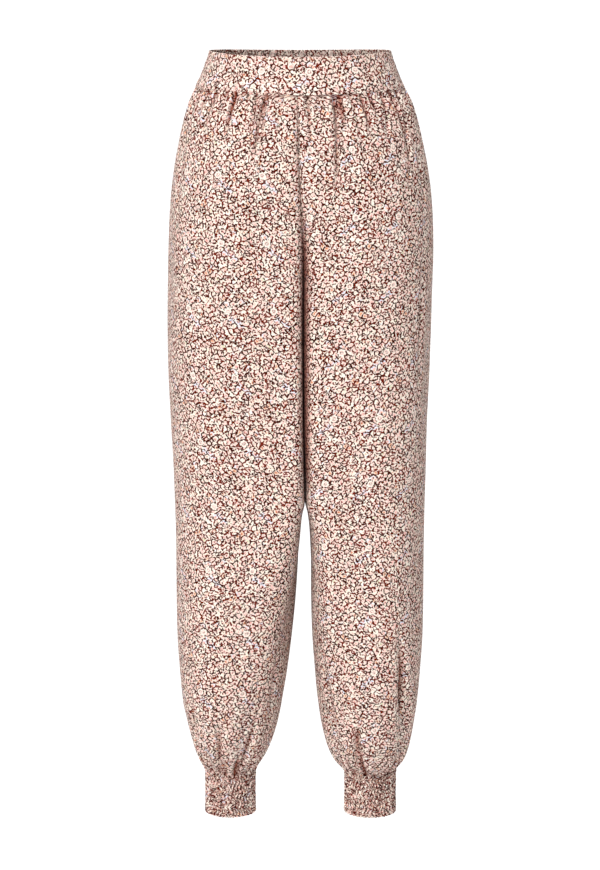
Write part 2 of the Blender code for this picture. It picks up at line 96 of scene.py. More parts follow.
# outer: x of the side seam. lobe: x where front and back stand furthest out, front and back their distance.
# cleft_f, cleft_b: depth of the centre seams between the legs. inner: x of the inseam below the crotch.
# corner, flank: squareness of the inner and outer half. sway_f, sway_m, lean: sideways shifts.
COLUMNS = "drop outer lobe front back cleft_f cleft_b inner corner flank sway_f sway_m lean"
Level = namedtuple("Level", COLUMNS)
LEVELS = [Level(*row) for row in (
    (26, 134, 0, 106.5, 106.5, 0, 0, 0, 3, 2.05, -3, -3, 0),
    (34, 138, 5, 109.5, 110.5, 0.2, 0.2, 0, 3, 2.05, -3, -3, 0.3),
    (45, 143.4, 12, 112.5, 115.5, 0.5, 0.4, 0, 3, 2.1, -3, -3, 0.6),
    (62, 149.2, 20, 115.5, 121.5, 1.1, 0.8, 0, 3, 2.1, -3, -3, 0.8),
    (90, 156.4, 30, 118.5, 130, 2.4, 1.8, 0, 3.4, 2.15, -3, -3, 1),
    (125, 163.5, 40, 120.5, 136, 5, 3.5, 0, 4.4, 2.2, -2, -2.8, 1.3),
    (160, 168.2, 48, 121.5, 139.5, 9, 6, 0, 5.8, 2.25, 0, -2, 1.5),
    (200, 171, 56, 121.5, 140, 15, 10, 0, 7.4, 2.3, 2.4, -0.8, 1.4),
    (250, 172.2, 64, 120, 138, 25, 18, 0, 9, 2.3, 4.2, 0.5, 0.7),
    (310, 172.2, 71, 118, 134, 39, 31, 0, 10, 2.3, 5.6, 1, -0.6),
    (380, 171.2, 77, 115.5, 128.5, 55, 49, 0, 10.5, 2.3, 6.6, 1.6, -1.3),
    (450, 168.4, 81, 113, 124, 74, 70, 0, 10, 2.3, 7.2, 2.4, -1.3),
    (510, 166.2, 83, 111, 120.5, 94, 93, 0, 9, 2.3, 7.8, 3.3, -0.5),
    (540, 165.4, 84, 109.2, 118.2, 108, 108, 0, 8, 2.3, 8.2, 3.8, -0.3),
    (555, 165, 84, 108.5, 117.5, 113, 113, 0.025, 7.4, 2.3, 8.4, 4.2, -0.3),
    (572, 164.6, 84, 107.6, 116.2, 0, 0, 3.7, 6.6, 2.3, 8.3, 5, -0.2),
    (600, 164.1, 85, 106.5, 113.5, 0, 0, 6.3, 5.4, 2.3, 7.8, 6, 0),
    (640, 163.9, 87, 104, 110, 0, 0, 8.4, 4.2, 2.3, 6.9, 6, 0),
    (690, 163.9, 88, 100.5, 106, 0, 0, 10, 3.2, 2.3, 4.9, 4.7, 0),
    (740, 163.4, 89, 95.5, 101, 0, 0, 13, 2.7, 2.3, 3, 3, 0),
    (797, 160.3, 90, 87, 94, 0, 0, 18.6, 2.3, 2.25, 1.4, 1.4, 0),
    (839, 156.8, 91, 78, 87.5, 0, 0, 24.1, 2.1, 2.2, 0, 0, 0),
    (866, 151.8, 91, 69, 80.5, 0, 0, 29.2, 2, 2.1, 0, 0, 0),
    (890, 146.3, 92, 58.5, 72, 0, 0, 36, 2, 2.05, 0, 0, 0),
    (908, 141.5, 93, 48, 64, 0, 0, 42.8, 2, 2, 0, 0, 0),
    (922, 136.5, 94, 38.5, 56.5, 0, 0, 50.3, 2, 2, 0, 0, 0),
    (932, 132, 94, 30.5, 50, 0, 0, 56.4, 2, 2, 0, 0, 0),
    (938, 129.3, 94, 25.8, 45.8, 0, 0, 58.7, 2, 2, 0, 0, 0),
)]
print(f"{len(LEVELS)} levels over {LEVELS[-1].drop - LEVELS[0].drop} mm, from the waist seam to the cuffs")

# %% Curves that run smoothly through the table
def smoothstep(value, start, end):
    share = np.clip((value - start) / (end - start), 0, 1)
    return share * share * (3 - 2 * share)


def column(name):
    """A function of drop through one column of LEVELS, with no bump between its rows."""
    rows = LEVELS
    if name in ("cleft_f", "cleft_b"):
        rows = [row for row in LEVELS if row.drop <= CROTCH_DROP]
    if name == "inner":
        rows = [row for row in LEVELS if row.drop >= CROTCH_DROP]
    drops, values = (np.array([getattr(row, key) for row in rows], float) for key in ("drop", name))
    steps = np.diff(drops)
    rates = np.diff(values) / steps
    before, after = rates[:-1], rates[1:]
    agree = before * after > 0
    between = np.where(agree, 2 * before * after / np.where(agree, before + after, 1), 0)
    slopes = np.concatenate((rates[:1], between, rates[-1:]))

    def at(drop):
        drop = np.clip(drop, drops[0], drops[-1])
        i = np.clip(np.searchsorted(drops, drop, side="right") - 1, 0, len(steps) - 1)
        t = (drop - drops[i]) / steps[i]
        near = values[i] + t * t * (3 - 2 * t) * (values[i + 1] - values[i])
        return near + steps[i] * (slopes[i] * t * (1 - t) ** 2 - slopes[i + 1] * t * t * (1 - t))

    return at


SHAPE = {name: column(name) for name in Level._fields[1:]}
print(f"half way down the side seam stands {SHAPE['outer'](CUFF_BOTTOM_DROP / 2):.0f} mm out")

# %% [markdown]
# ## A level's line
#
# Seen from above, half of the garment is a rounded box: flat-sided where the cloth hangs from hip to thigh,
# and tucked in at the centre seam. A superellipse draws that with one number for its squareness, so each
# half section is two of its quarters, one to the inside of the leg and one to the outside.

# %% Half a section, from the centre seam or inseam out to the side seam
CURVE_STEPS = 240


def lengths_along(points):
    """Running length from the first point of a row, or from the first row of points."""
    steps = np.linalg.norm(np.diff(points, axis=0), axis=-1)
    return np.concatenate((0 * steps[:1], np.cumsum(steps, axis=0)))


def quarter_curve(reach, depth, power, start, end):
    """Points of a superellipse quarter between two directions, in radians from straight ahead."""
    turn = np.linspace(start, end, CURVE_STEPS + 1)
    s, c = np.sin(turn), np.cos(turn)
    size = (np.abs(s) ** power + np.abs(c) ** power) ** (1 / power)
    return np.column_stack((reach * s / size, depth * c / size))


def half_section(drop, back):
    """(x, y) points of one level of the left half, in front or behind."""
    at = {name: float(curve(drop)) for name, curve in SHAPE.items()}
    middle = (at["back"] - at["front"]) / 2
    depth = (at["back"] + at["front"]) / 2
    outer_reach = at["outer"] - at["lobe"]
    edge = SEAM_GAP / 2
    first = edge / outer_reach
    inside = np.empty((0, 2))
    if at["lobe"] > edge:
        power = at["corner"]
        cleft = at["cleft_b" if back else "cleft_f"] if drop < CROTCH_DROP else depth
        forward = max(0.0, 1 - cleft / depth)
        sideways = (1 - forward**power) ** (1 / power)
        inner_reach = (at["lobe"] - max(at["inner"], edge)) / sideways
        start = max(-math.atan2(sideways, forward), -math.pi / 2 + edge / depth)
        inside = quarter_curve(inner_reach, depth, power, start, 0.0)[:-1]
        first = 0.0
    outside = quarter_curve(outer_reach, depth, at["flank"], first, math.pi / 2 - edge / depth)
    points = np.concatenate((inside, outside))
    return np.column_stack((at["lobe"] + points[:, 0], middle + (1 if back else -1) * points[:, 1]))


girth = 2 * sum(lengths_along(half_section(300, back))[-1] for back in (False, True))
print(f"seat girth, into the cleft and out again: {girth:.0f} mm")

# %% [markdown]
# ## Gathers and folds
#
# Gathering draws a wide edge into a narrow one, so the cloth stands in soft tubes with tight valleys
# between them. They are all a little different, because fingers slide them along the thread. Each gather
# here has its own depth and length from a slow wave. The large folds, and the creases that the cloth falls
# into, are listed one row each, with its place across the panel from 0 at the centre seam or
# inseam to 1 at the side seam.

# %% Gathers at the waist seam and at the cuffs
Gathers = namedtuple("Gathers", "count depth uneven phase")
GATHERS = {  # at the waistband and at the cuff
    "front_left": (Gathers(12, 4.4, 0.30, 0.4), Gathers(7, 4.8, 0.16, 1.3)),
    "front_right": (Gathers(12, 4.2, 0.30, 2.1), Gathers(7, 4.8, 0.16, 0.2)),
    "back_left": (Gathers(14, 4.4, 0.26, 3.7), Gathers(7, 4.4, 0.16, 2.6)),
    "back_right": (Gathers(14, 4.4, 0.26, 5.2), Gathers(7, 4.4, 0.16, 4.4)),
}
GATHER_AT_SEAM = 0.6  # share of a fold's depth left where it is stitched down
GATHER_SWELL = 12.0  # distance from the seam at which a fold is at its deepest
TOP_GATHER_REACH = (40.0, 150.0)  # shortest and longest fold below the waistband
CUFF_GATHER_REACH = (45.0, 100.0)
VALLEY_SHARPNESS = 2.2  # above 1, valleys are narrower than the tubes between them
PLEATLET_SHARE = 0.5  # small gathers between the main ones, as a share of their depth
PLEATLET_REACH = 26.0
NOTCH_DEPTH = 2.2  # the stitching pinches each valley shut for the first few millimetres
NOTCH_REACH = 8.0


def rib(angle):
    """A wave that is 0 on a crest, at whole turns, and 1 in a valley."""
    return 0.5 - 0.5 * np.cos(angle)


def fold_number(gathers, share):
    """Which gather a place belongs to: whole at a valley, and a half at a crest."""
    wander = 0.6 * np.sin(2 * TURN * share + gathers.phase)
    wander += 0.4 * np.sin(3 * TURN * share - 2 * gathers.phase)
    start = 0.6 * math.sin(gathers.phase) - 0.4 * math.sin(2 * gathers.phase)
    return gathers.count * share + gathers.uneven * (wander - start)


def gather_trough(gathers, reach, share, distance):
    """Depth of the gathers at a distance from their seam."""
    number = fold_number(gathers, share)
    which = np.round(number)
    valley = (0.5 + 0.5 * np.cos(TURN * number)) ** VALLEY_SHARPNESS
    strength = 0.68 + 0.32 * np.sin(2.4 * which + gathers.phase)
    length = reach[0] + (reach[1] - reach[0]) * (0.5 + 0.5 * np.sin(1.7 * which + 2 * gathers.phase))
    distance = np.maximum(distance, 0)
    rise = GATHER_AT_SEAM + (1 - GATHER_AT_SEAM) * smoothstep(distance, 0, GATHER_SWELL)
    fade = 1 - smoothstep(distance, GATHER_SWELL, length)
    small = rib(2 * TURN * number + 1.3 * np.sin(3 * which))
    small = small * (1 - smoothstep(distance, 0, PLEATLET_REACH)) * PLEATLET_SHARE
    notch = NOTCH_DEPTH * valley**3 * (1 - smoothstep(distance, 0, NOTCH_REACH))
    return gathers.depth * (valley * strength * rise * fade + small) + notch


def gathers_trough(panel, share, drop):
    """Depth of a panel's gathers, at the waistband and at the cuff."""
    top, cuff = GATHERS[panel]
    at_band = gather_trough(top, TOP_GATHER_REACH, share, drop - BAND_BOTTOM_DROP)
    return at_band + gather_trough(cuff, CUFF_GATHER_REACH, share, CUFF_TOP_DROP - drop)


print(f"{sum(top.count + cuff.count for top, cuff in GATHERS.values())} gathers")

# %% The large folds, which the solids have too, and the creases that the cloth falls into
Fold = namedtuple("Fold", "along drift top bottom depth half_width")
FOLDS = {  # one with a negative depth stands out
    "front_left": [
        (0.23, 0.06, 26, 170, 3.6, 7),
        (0.74, 0.1, 26, 150, 3, 8),
        (0.3, 0.1, 150, 420, -3, 26),
        (0.86, 0, 230, 540, 4, 20),
        (0.84, -0.12, 560, 790, 4, 22),
        (0.66, 0.2, 770, 938, 9, 12),
        (0.2, 0, 800, 938, 4.5, 11),
    ],
    "front_right": [
        (0.28, 0.12, 26, 300, 4.5, 10),
        (0.84, 0.04, 150, 420, 3, 22),
        (0.16, 0.06, 600, 870, 6, 22),
        (0.9, -0.06, 840, 938, 5, 11),
        (0.38, 0.04, 800, 938, 5, 13),
    ],
    "back_left": [
        (0.3, 0.1, 26, 240, 4, 10),
        (0.62, 0.06, 300, 620, 6, 28),
        (0.76, -0.05, 580, 900, 6, 24),
        (0.35, 0.04, 760, 938, 7, 15),
    ],
    "back_right": [
        (0.26, 0.1, 26, 260, 4, 10),
        (0.66, 0.04, 320, 640, 6, 28),
        (0.72, -0.03, 610, 910, 6, 24),
        (0.3, 0.05, 780, 938, 7, 15),
    ],
}
CREASES = {
    "front_left": [
        (0.235, -0.06, 26, 180, 6, 2.6),
        (0.59, -0.09, 26, 92, 5, 2.6),
        (0.76, -0.17, 26, 150, 6.4, 2.8),
        (0.785, -0.06, 34, 200, 5.6, 3.2),
        (0.7, 0.05, 190, 470, 5, 5),
        (0.1, 0.03, 26, 120, 1.6, 3.2),
        (0.42, -0.02, 26, 84, 2, 2.8),
        (0.64, 0.14, 690, 938, 8.6, 5.4),
        (0.24, 0.02, 750, 938, 5.6, 5),
        (0.46, -0.1, 830, 938, 5.4, 4.4),
    ],
    "front_right": [
        (0.225, 0.03, 26, 132, 6.4, 2.6),
        (0.255, 0.06, 110, 300, 4, 8),
        (0.44, 0, 26, 70, 2, 2.8),
        (0.63, -0.03, 26, 95, 2, 3),
        (0.1, 0.02, 26, 110, 1.6, 3.2),
        (0.8, -0.1, 60, 210, 1.8, 4.4),
        (0.74, 0.1, 790, 938, 6.2, 5),
        (0.33, 0.06, 840, 938, 6.2, 5),
        (0.25, -0.03, 720, 880, 4.8, 6),
        (0.56, 0.06, 830, 938, 5.2, 4.6),
    ],
    "back_left": [
        (0.2, 0.04, 26, 150, 4.4, 2.8),
        (0.52, -0.04, 26, 180, 4, 3),
        (0.74, -0.1, 26, 120, 4.4, 2.8),
        (0.45, 0.1, 150, 420, 2.8, 7),
        (0.66, 0.08, 740, 938, 6.4, 4.4),
        (0.22, 0.03, 810, 938, 5.4, 4.4),
    ],
    "back_right": [
        (0.24, 0.02, 26, 135, 4.4, 2.8),
        (0.48, 0.05, 26, 200, 3.8, 3.2),
        (0.8, -0.12, 26, 150, 4.2, 2.8),
        (0.4, 0.08, 180, 460, 2.8, 7),
        (0.6, 0.1, 760, 938, 6.2, 4.4),
        (0.26, -0.02, 830, 938, 5.4, 4.4),
    ],
}
FADE = 0.45  # share of a fold's length by which a free fold has all its depth, and begins to lose it again
SEAM_START, SEAM_START_FADE = 0.3, 0.15  # its depth at the band, and how soon it has all of it
SEAM_END, SEAM_END_FADE = 0.25, 0.3  # its depth at the cuff, and over how much of its length it lessens
PANEL_WIDTH = 230.0  # by which folds across a panel are sized
SEAM_REACH = 0.05  # share of a panel over which a seam holds its folds flat
SEAM_DIP = 1.3  # how far the cloth turns in at the side seam and the inseam
SEAM_DIP_WIDTH = 3.2
INSEAM_DIP_DROPS = (CROTCH_DROP, CROTCH_DROP + 40)  # between them the inseam's dip begins
CENTRE_SEAM_DIP = 4.2  # deeper, for the seam is pulled in towards the crotch
CENTRE_SEAM_DIP_WIDTH = 5.0
CENTRE_SEAM_TURNS = (125.0, 195.0)  # drops between which the centre seam turns in between the legs
BAND_SEAM_DIP = 0.5  # how far the cloth turns in below the waistband
BAND_SEAM_DIP_WIDTH = 5.0
LEFT_ANKLE_FULLNESS = 4.2  # the left leg has slid a little down over its cuff
LEFT_ANKLE_RANGE = (830.0, 918.0, 946.0)


def fold_trough(fold, share, drop):
    """Depth of one fold or crease. It is deep where it runs into a seam, and a free end fades away."""
    way = np.clip((drop - fold.top) / (fold.bottom - fold.top), 0, 1)
    starts_at_band = fold.top <= BAND_BOTTOM_DROP
    ends_at_cuff = fold.bottom >= CUFF_TOP_DROP
    start, start_fade = (SEAM_START, SEAM_START_FADE) if starts_at_band else (0, FADE)
    end, end_from = (SEAM_END, 1 - SEAM_END_FADE) if ends_at_cuff else (0, FADE)
    body = start + (1 - start) * smoothstep(way, 0, start_fade)
    body = body * (1 - (1 - end) * smoothstep(way, end_from, 1.0))
    off = (share - fold.along - fold.drift * way) * PANEL_WIDTH / fold.half_width
    inside = (drop >= min(fold.top, BAND_BOTTOM_DROP + 1e-6)) & (drop <= fold.bottom + 1e-6)
    inside &= (drop >= fold.top) | starts_at_band
    return np.where(inside, fold.depth * body * np.exp(-off * off), 0)


def folds_trough(folds, share, drop):
    """Depth of several folds or creases together."""
    return sum(fold_trough(Fold(*row), share, drop) for row in folds)


def dip(distance, width):
    """1 at a seam, falling to 0 at some distance from it."""
    return (1 - np.clip(distance / width, 0, 1)) ** 2


def seam_dip(share, drop, length):
    """How far the cloth turns in at its side seam, and at the centre seam or inseam."""
    to_centre, to_side = share * length, (1 - share) * length
    inseam = dip(to_centre, SEAM_DIP_WIDTH) * smoothstep(drop, *INSEAM_DIP_DROPS)
    # Where the centre seam has turned in between the legs, its two edges lie face to face already.
    centre = dip(to_centre, CENTRE_SEAM_DIP_WIDTH) * (1 - smoothstep(drop, *CENTRE_SEAM_TURNS))
    return SEAM_DIP * (dip(to_side, SEAM_DIP_WIDTH) + inseam) + CENTRE_SEAM_DIP * centre


def held_by_seams(share):
    """0 at a panel's two long seams, which hold its folds flat, and 1 away from them."""
    return smoothstep(np.minimum(share, 1 - share), 0, SEAM_REACH)


def trough(panel, share, drop, length):
    """How far the cloth lies inside the smooth surface, at shares and drops of a panel's grid."""
    depth = gathers_trough(panel, share, drop) + folds_trough(FOLDS[panel] + CREASES[panel], share, drop)
    depth = depth * held_by_seams(share) + seam_dip(share, drop, length)
    depth += BAND_SEAM_DIP * dip(drop - BAND_BOTTOM_DROP, BAND_SEAM_DIP_WIDTH)
    if panel.endswith("left"):
        start, peak, end = LEFT_ANKLE_RANGE
        depth -= LEFT_ANKLE_FULLNESS * smoothstep(drop, start, peak) * (1 - smoothstep(drop, peak, end))
    return depth


for kind, table in (("folds", FOLDS), ("creases", CREASES)):
    print(f"{sum(map(len, table.values()))} {kind}")


# %% [markdown]
# ## Light lost in the folds
#
# The bottom of a tight fold is dark, because light only comes in at its mouth. The mesh is too coarse to be
# as tight as real cloth. So each point also says, from 0 to 1, how much light is lost there, worked out from
# the same tables, and the cloth's material darkens by it. A finer mesh would do without, at many times the
# size.

# %% Light lost in the tight folds and in the fork
TIGHTNESS = 1.8  # a gather's valley is this much tighter than a crease of the same depth
SHADOW_DEPTHS = (2.0, 9.5)  # depths at which a fold begins to lose light, and has lost the most
FORK_TURNS_IN = (140.0, 240.0)  # drops between which the centre seams turn in between the legs
FORK_ENDS = (500.0, 550.0)
FORK_SHADOWS = {"front_left": (0.95, 12.0), "front_right": (0.6, 4.0)}  # strength, and width in from the seam
BACK_FORK_SHADOW = (0.5, 4.0)


def fold_shadow(panel, share, drop, from_middle):
    """How much light a panel loses in its tight folds and at the fork, from 0 to 1."""
    depth = TIGHTNESS * gathers_trough(panel, share, drop) + folds_trough(CREASES[panel], share, drop)
    tight = smoothstep(depth, *SHADOW_DEPTHS) * held_by_seams(share)
    # The light comes over the right leg, so it is the left one's front that lies in a wide shadow.
    strength, width = FORK_SHADOWS.get(panel, BACK_FORK_SHADOW)
    fork = smoothstep(drop, *FORK_TURNS_IN) * (1 - smoothstep(drop, *FORK_ENDS))
    fork = strength * fork * (1 - smoothstep(from_middle, 0.0, width))
    return np.maximum(tight, fork)


drops = np.arange(BAND_BOTTOM_DROP, CUFF_TOP_DROP)[:, None]
lost = fold_shadow("front_left", np.linspace(0, 1, 200), drops, np.inf)
print(f"{(lost > 0.5).mean():.0%} of the left front panel lies deep in a tight fold")


# %% [markdown]
# ## The leg panels
#
# Each leg panel is one flat cut of cloth, gathered above and below. Its shell starts as a grid on the smooth
# body, and every point is then moved in along the surface's normal by the trough at its place. Rows and
# columns are a few millimetres apart, and closer at the seams and at tight bends, because a crease is only as
# soft as the points across it. The second face lies one cloth's thickness inside, square to the seams at the
# panel's edges. The UV map runs in millimetres along the folded cloth, so that the print is no wider in a
# fold than on the flat. A displacement modifier could move the points too, but here the same troughs are also
# what the solids use.

# %% A panel's rows and columns
ROW_RUNS = ((26.0, 190.0, 68), (190.0, 820.0, 126), (820.0, 938.0, 47))  # drops from and to, and rows
INNER_COLUMNS = 160  # between the points that round off the two seams
SEAM_POINTS = np.array([0.0, 0.6, 1.3, 2.2, 3.4])  # distances from a seam
SEAM_CLEARANCE = 5.0  # distance from a seam to the nearest of the inner columns
BEND_LENGTH = 25.0  # length of straight line that counts as much as a radian of bend
SIDE_RISE = 3.8  # the waist sits this much higher at the side seams
SIDE_RISE_ENDS = 110.0


def smooth_row(drop, back):
    """One row of the grid on the smooth body, and how far along it each of its points lies."""
    points = half_section(drop, back)
    along = lengths_along(points)
    turn = np.unwrap(np.arctan2(*np.diff(points, axis=0).T[::-1]))
    bend = np.append(np.abs(np.diff(turn)), 0)
    effort = np.append(0, np.cumsum(np.diff(along) + BEND_LENGTH * bend))
    length = along[-1]
    first, last = np.interp((SEAM_CLEARANCE, length - SEAM_CLEARANCE), along, effort)
    middle = np.interp(np.linspace(first, last, INNER_COLUMNS), effort, along)
    places = np.concatenate((SEAM_POINTS, middle, length - SEAM_POINTS[::-1]))
    x, y = (np.interp(places, along, points[:, axis]) for axis in (0, 1))
    return np.column_stack((x, y, np.full(len(x), -drop))), places


def unit(vectors):
    return vectors / np.linalg.norm(vectors, axis=-1, keepdims=True)


def normals(grid):
    """Unit normals of a grid of points, across its columns and down its rows."""
    return unit(np.cross(np.gradient(grid, axis=1), np.gradient(grid, axis=0)))


def lift_sides(grid, half_width, drop):
    """Raises the waist at the side seams."""
    rise = SIDE_RISE * (1 - smoothstep(drop, BAND_BOTTOM_DROP, SIDE_RISE_ENDS))
    grid[..., 2] += rise * np.minimum(1, np.abs(grid[..., 0]) / half_width) ** 2


def sway(grid, drop):
    """Shifts the fork between the legs sideways, most at its front, and leaves the side seams alone."""
    at = {name: curve(drop) for name, curve in SHAPE.items()}
    hold = np.maximum(0, 1 - (grid[..., 0] / at["outer"]) ** 2) ** 2
    towards_front = np.clip(-grid[..., 1] / at["front"], 0, 1)
    grid[..., 0] += at["lean"] + hold * (at["sway_m"] + (at["sway_f"] - at["sway_m"]) * towards_front)


row_count = sum(count for *_, count in ROW_RUNS) + 1
print(f"{row_count} rows of {INNER_COLUMNS + 2 * len(SEAM_POINTS)} points that show in each leg panel")


# %% A closed mesh from rings of points
def placed(name, data):
    """A new object in the scene."""
    thing = bpy.data.objects.new(name, data)
    bpy.context.scene.collection.objects.link(thing)
    return thing


def closed_mesh(name, rings, u, v, shadow, wrong_side=0.0, joined=False):
    """A piece from rings of points in millimetres. Its two ends are closed, or joined to each other.

    The maps u and v have one more column than the rings, and one more row where the ends are joined.
    """
    rows, around = rings.shape[:2]
    ring, place = np.meshgrid(np.arange(rows if joined else rows - 1), np.arange(around), indexing="ij")
    corner_rows = np.stack((ring, ring, ring + 1, ring + 1), -1).reshape(-1, 4)
    corner_columns = np.stack((place, place + 1, place + 1, place), -1).reshape(-1, 4)
    if not joined:
        i = np.arange(around // 2 - 1)
        cap = np.stack((i, around - 1 - i, around - 2 - i, i + 1), -1)
        corner_rows = np.concatenate((corner_rows, 0 * cap, 0 * cap + rows - 1))
        corner_columns = np.concatenate((corner_columns, cap, cap[:, ::-1]))
    faces = (corner_rows % rows) * around + corner_columns % around
    points = rings.reshape(-1, 3) * MM
    a, b, c, d = (points[faces[:, corner]] for corner in range(4))
    volume = (a * np.cross(b, c)).sum() + (a * np.cross(c, d)).sum()
    if volume < 0:  # then the faces look inwards, and are turned round
        faces, corner_rows, corner_columns = (part[:, ::-1] for part in (faces, corner_rows, corner_columns))
    mesh = bpy.data.meshes.new(name)
    mesh.from_pydata(points.tolist(), [], faces.tolist())
    uv = np.stack((u[corner_rows, corner_columns], v[corner_rows, corner_columns]), -1)
    mesh.uv_layers.new(name="cloth").uv.foreach_set("vector", (uv * MM).astype(np.float32).ravel())
    for layer, values in (("wrong_side", wrong_side), ("fold_shadow", shadow)):
        values = np.broadcast_to(values, (rows, around)).astype(np.float32)
        mesh.attributes.new(layer, "FLOAT", "POINT").data.foreach_set("value", values.ravel())
    mesh.shade_smooth()
    piece = placed(name, mesh)
    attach(piece, "root")
    print(f"{name}: {2 * len(faces)} triangles, {abs(volume) / 6 * 1e6:.1f} cm3")
    return piece


# %% The panels' shells
SEAM_LEDGE = 1.6  # deepest that the cloth lies where it comes out between the band's two faces
SEAM_LEDGE_SLOPE = 1.2  # how much deeper it may lie for each millimetre further down
TUCKS = ((BAND_BOTTOM_DROP - 1.6, 1.0), (CUFF_TOP_DROP + 2.0, 1.9))  # drop and depth of the hidden ends
SQUARE_SEAM = (195.0, 260.0)  # above these drops the cloth at the centre seam is moved straight back
PRINT_STARTS = {
    "front_left": (1531.0, 2011.0),
    "front_right": (1204.0, 2043.0),
    "back_left": (1817.0, 1976.0),
    "back_right": (1419.0, 2029.0),
}


def leg_panel(panel):
    """The shell of one leg panel, its print laid along the folded cloth."""
    half, side = panel.split("_")
    outward = 1 if half == "back" else -1
    runs = [np.linspace(start, end, count, endpoint=False) for start, end, count in ROW_RUNS]
    drops = np.concatenate(([TUCKS[0][0]], *runs, [CUFF_TOP_DROP, TUCKS[1][0]]))
    smooth, places = (np.stack(parts) for parts in zip(*(smooth_row(drop, half == "back") for drop in drops)))
    drop, length = drops[:, None], places[:, -1:]
    share = places / length
    square = (1 - smoothstep(drop, *SQUARE_SEAM)) * (1 - smoothstep(share, 0, SEAM_REACH))
    out = normals(smooth) * outward
    out[..., 0] *= 1 - square
    depth = trough(panel, share, drop, length)
    # The first and last rows run up into the band and down into the cuff, where the seam hides them.
    depth[0], depth[-1] = TUCKS[0][1], TUCKS[1][1]
    depth[1:] = np.minimum(depth[1:], SEAM_LEDGE + SEAM_LEDGE_SLOPE * (drop[1:] - BAND_BOTTOM_DROP))
    grid = smooth - depth[..., None] * unit(out)
    grid[1:-1, :, 2] = np.clip(grid[1:-1, :, 2], -CUFF_TOP_DROP, -BAND_BOTTOM_DROP)
    grid[[0, -1], :, 2] = -drop[[0, -1]]
    lift_sides(grid, BAND_BOTTOM[0], drop)
    if side == "right":
        grid[..., 0] *= -1
        outward = -outward
    sway(grid, drop)
    # The cloth's edges are square to their seams, so that no light comes through between two panels.
    out = normals(grid) * outward
    to_side, to_inseam = (1 - share) * length, np.where(drop < CROTCH_DROP, np.inf, share * length)
    out[..., 1] *= smoothstep(np.minimum(to_side, to_inseam), 0, SEAM_POINTS[-1])
    out[..., 0] *= 1 - square
    inside = grid - CLOTH * unit(out)
    middle = share.shape[1] // 2
    across, down = lengths_along(grid.swapaxes(0, 1)).T, lengths_along(grid[:, middle])
    centred = across - across[:, middle:middle + 1]
    u, v = PRINT_STARTS[panel]
    u = u + np.concatenate((centred, centred[:, ::-1], centred[:, :1]), 1)
    v = v - np.broadcast_to(down[:, None], u.shape)
    shadow = fold_shadow(panel, share, drop, smooth[..., 0])
    shadow = np.concatenate((shadow, 0 * shadow), 1)
    wrong_side = np.arange(shadow.shape[1]) >= share.shape[1]
    rings = np.concatenate((grid, inside[:, ::-1]), 1)
    print(f"{panel}: {across[:, -1].max():.0f} mm across at most, {down[-1]:.0f} mm down")
    return closed_mesh(f"leg_{panel}", rings, u, v, shadow, wrong_side)


legs = {panel: leg_panel(panel) for panel in PRINT_STARTS}

# %% [markdown]
# ## The waistband
#
# In front the band is two layers of cloth with a facing, cut to flare out over the stomach, so it is smooth
# and only puckers a little where the leg gathers pull on it. Behind, a wide elastic draws a longer casing
# together, and the cloth stands in fine uneven ribs on both faces, held by lines of stitching. Each half is
# a rounded profile swept from side seam to side seam.

# %% A rounded profile, and the ellipse that it follows
FRONT, BACK = -1, 1
BAND_FLARE = {FRONT: 1.35, BACK: 1.15}  # above 1, the band stands straighter near its top edge
EDGE_POINTS = 7  # round each edge of a strip


def rounded_profile(top, bottom, thickness, face_points):
    """(depth in from the outer face, drop) round a strip's section, from outside the top edge."""
    radius = thickness / 2
    bend = np.linspace(0, math.pi, EDGE_POINTS + 2)[1:-1]
    edge = radius * np.column_stack((-np.cos(bend), np.sin(bend)))
    drops = np.linspace(top + radius, bottom - radius, face_points)
    outer = np.column_stack((0 * drops, drops))
    inner = outer[::-1] + (thickness, 0)
    return np.concatenate((outer, edge + (radius, bottom - radius), inner, (radius, top + radius) - edge))


def band_points(facing, share, drop, inward):
    """Points of half the waistband, from the left side seam at share 0 round to the right one."""
    seam = SEAM_GAP / 2 / BAND_TOP[1]
    turn = facing * (seam + (math.pi - 2 * seam) * share)
    way = np.clip((drop - BAND_TOP_DROP) / (BAND_BOTTOM_DROP - BAND_TOP_DROP), 0, None) ** BAND_FLARE[facing]
    size = BAND_TOP + (BAND_BOTTOM - BAND_TOP) * way[..., None]
    direction = np.stack((np.cos(turn), np.sin(turn)), -1)
    flat = size * direction - inward[..., None] * unit(direction / size)
    points = np.concatenate((flat, (0 * turn - drop)[..., None]), -1)
    lift_sides(points, size[..., 0], drop)
    return points


share = np.linspace(0, 1, 200)
top_edge = band_points(FRONT, share, BAND_TOP_DROP + 0 * share, 0 * share)
print(f"{2 * lengths_along(top_edge)[-1]:.0f} mm round the band's top edge")


# %% The front and back halves of the band
BAND_FACE_POINTS = 18  # down each face
BAND_OVERLAP = 0.5  # how far the band's lower edge stands over the leg panels
CHANNEL_DROPS = (-8.0, 3.5, 15.0)  # lines of stitching through the elastic
CHANNEL_WIDTH = 1.5
BACK_RIBS = 30
FINE_RIBS = 73
PUCKERS = 26
RIB_SHADOW_DEPTHS = (0.8, 1.8)  # depths at which its grooves begin to lose light, and have lost the most
RIB_SHADOW = 0.6
END_TURN = 2.0  # the last of each end, over which its edges are rounded off
BACK_CLOTH = 1.45  # length of the casing's cloth for each length of elastic
RIB_DEPTH, FINE_RIB_DEPTH, CHANNEL_DEPTH = 0.75, 0.5, 0.5
FRONT_EASE, PUCKER_DEPTH, RIPPLE_DEPTH = 0.25, 0.55, 0.14


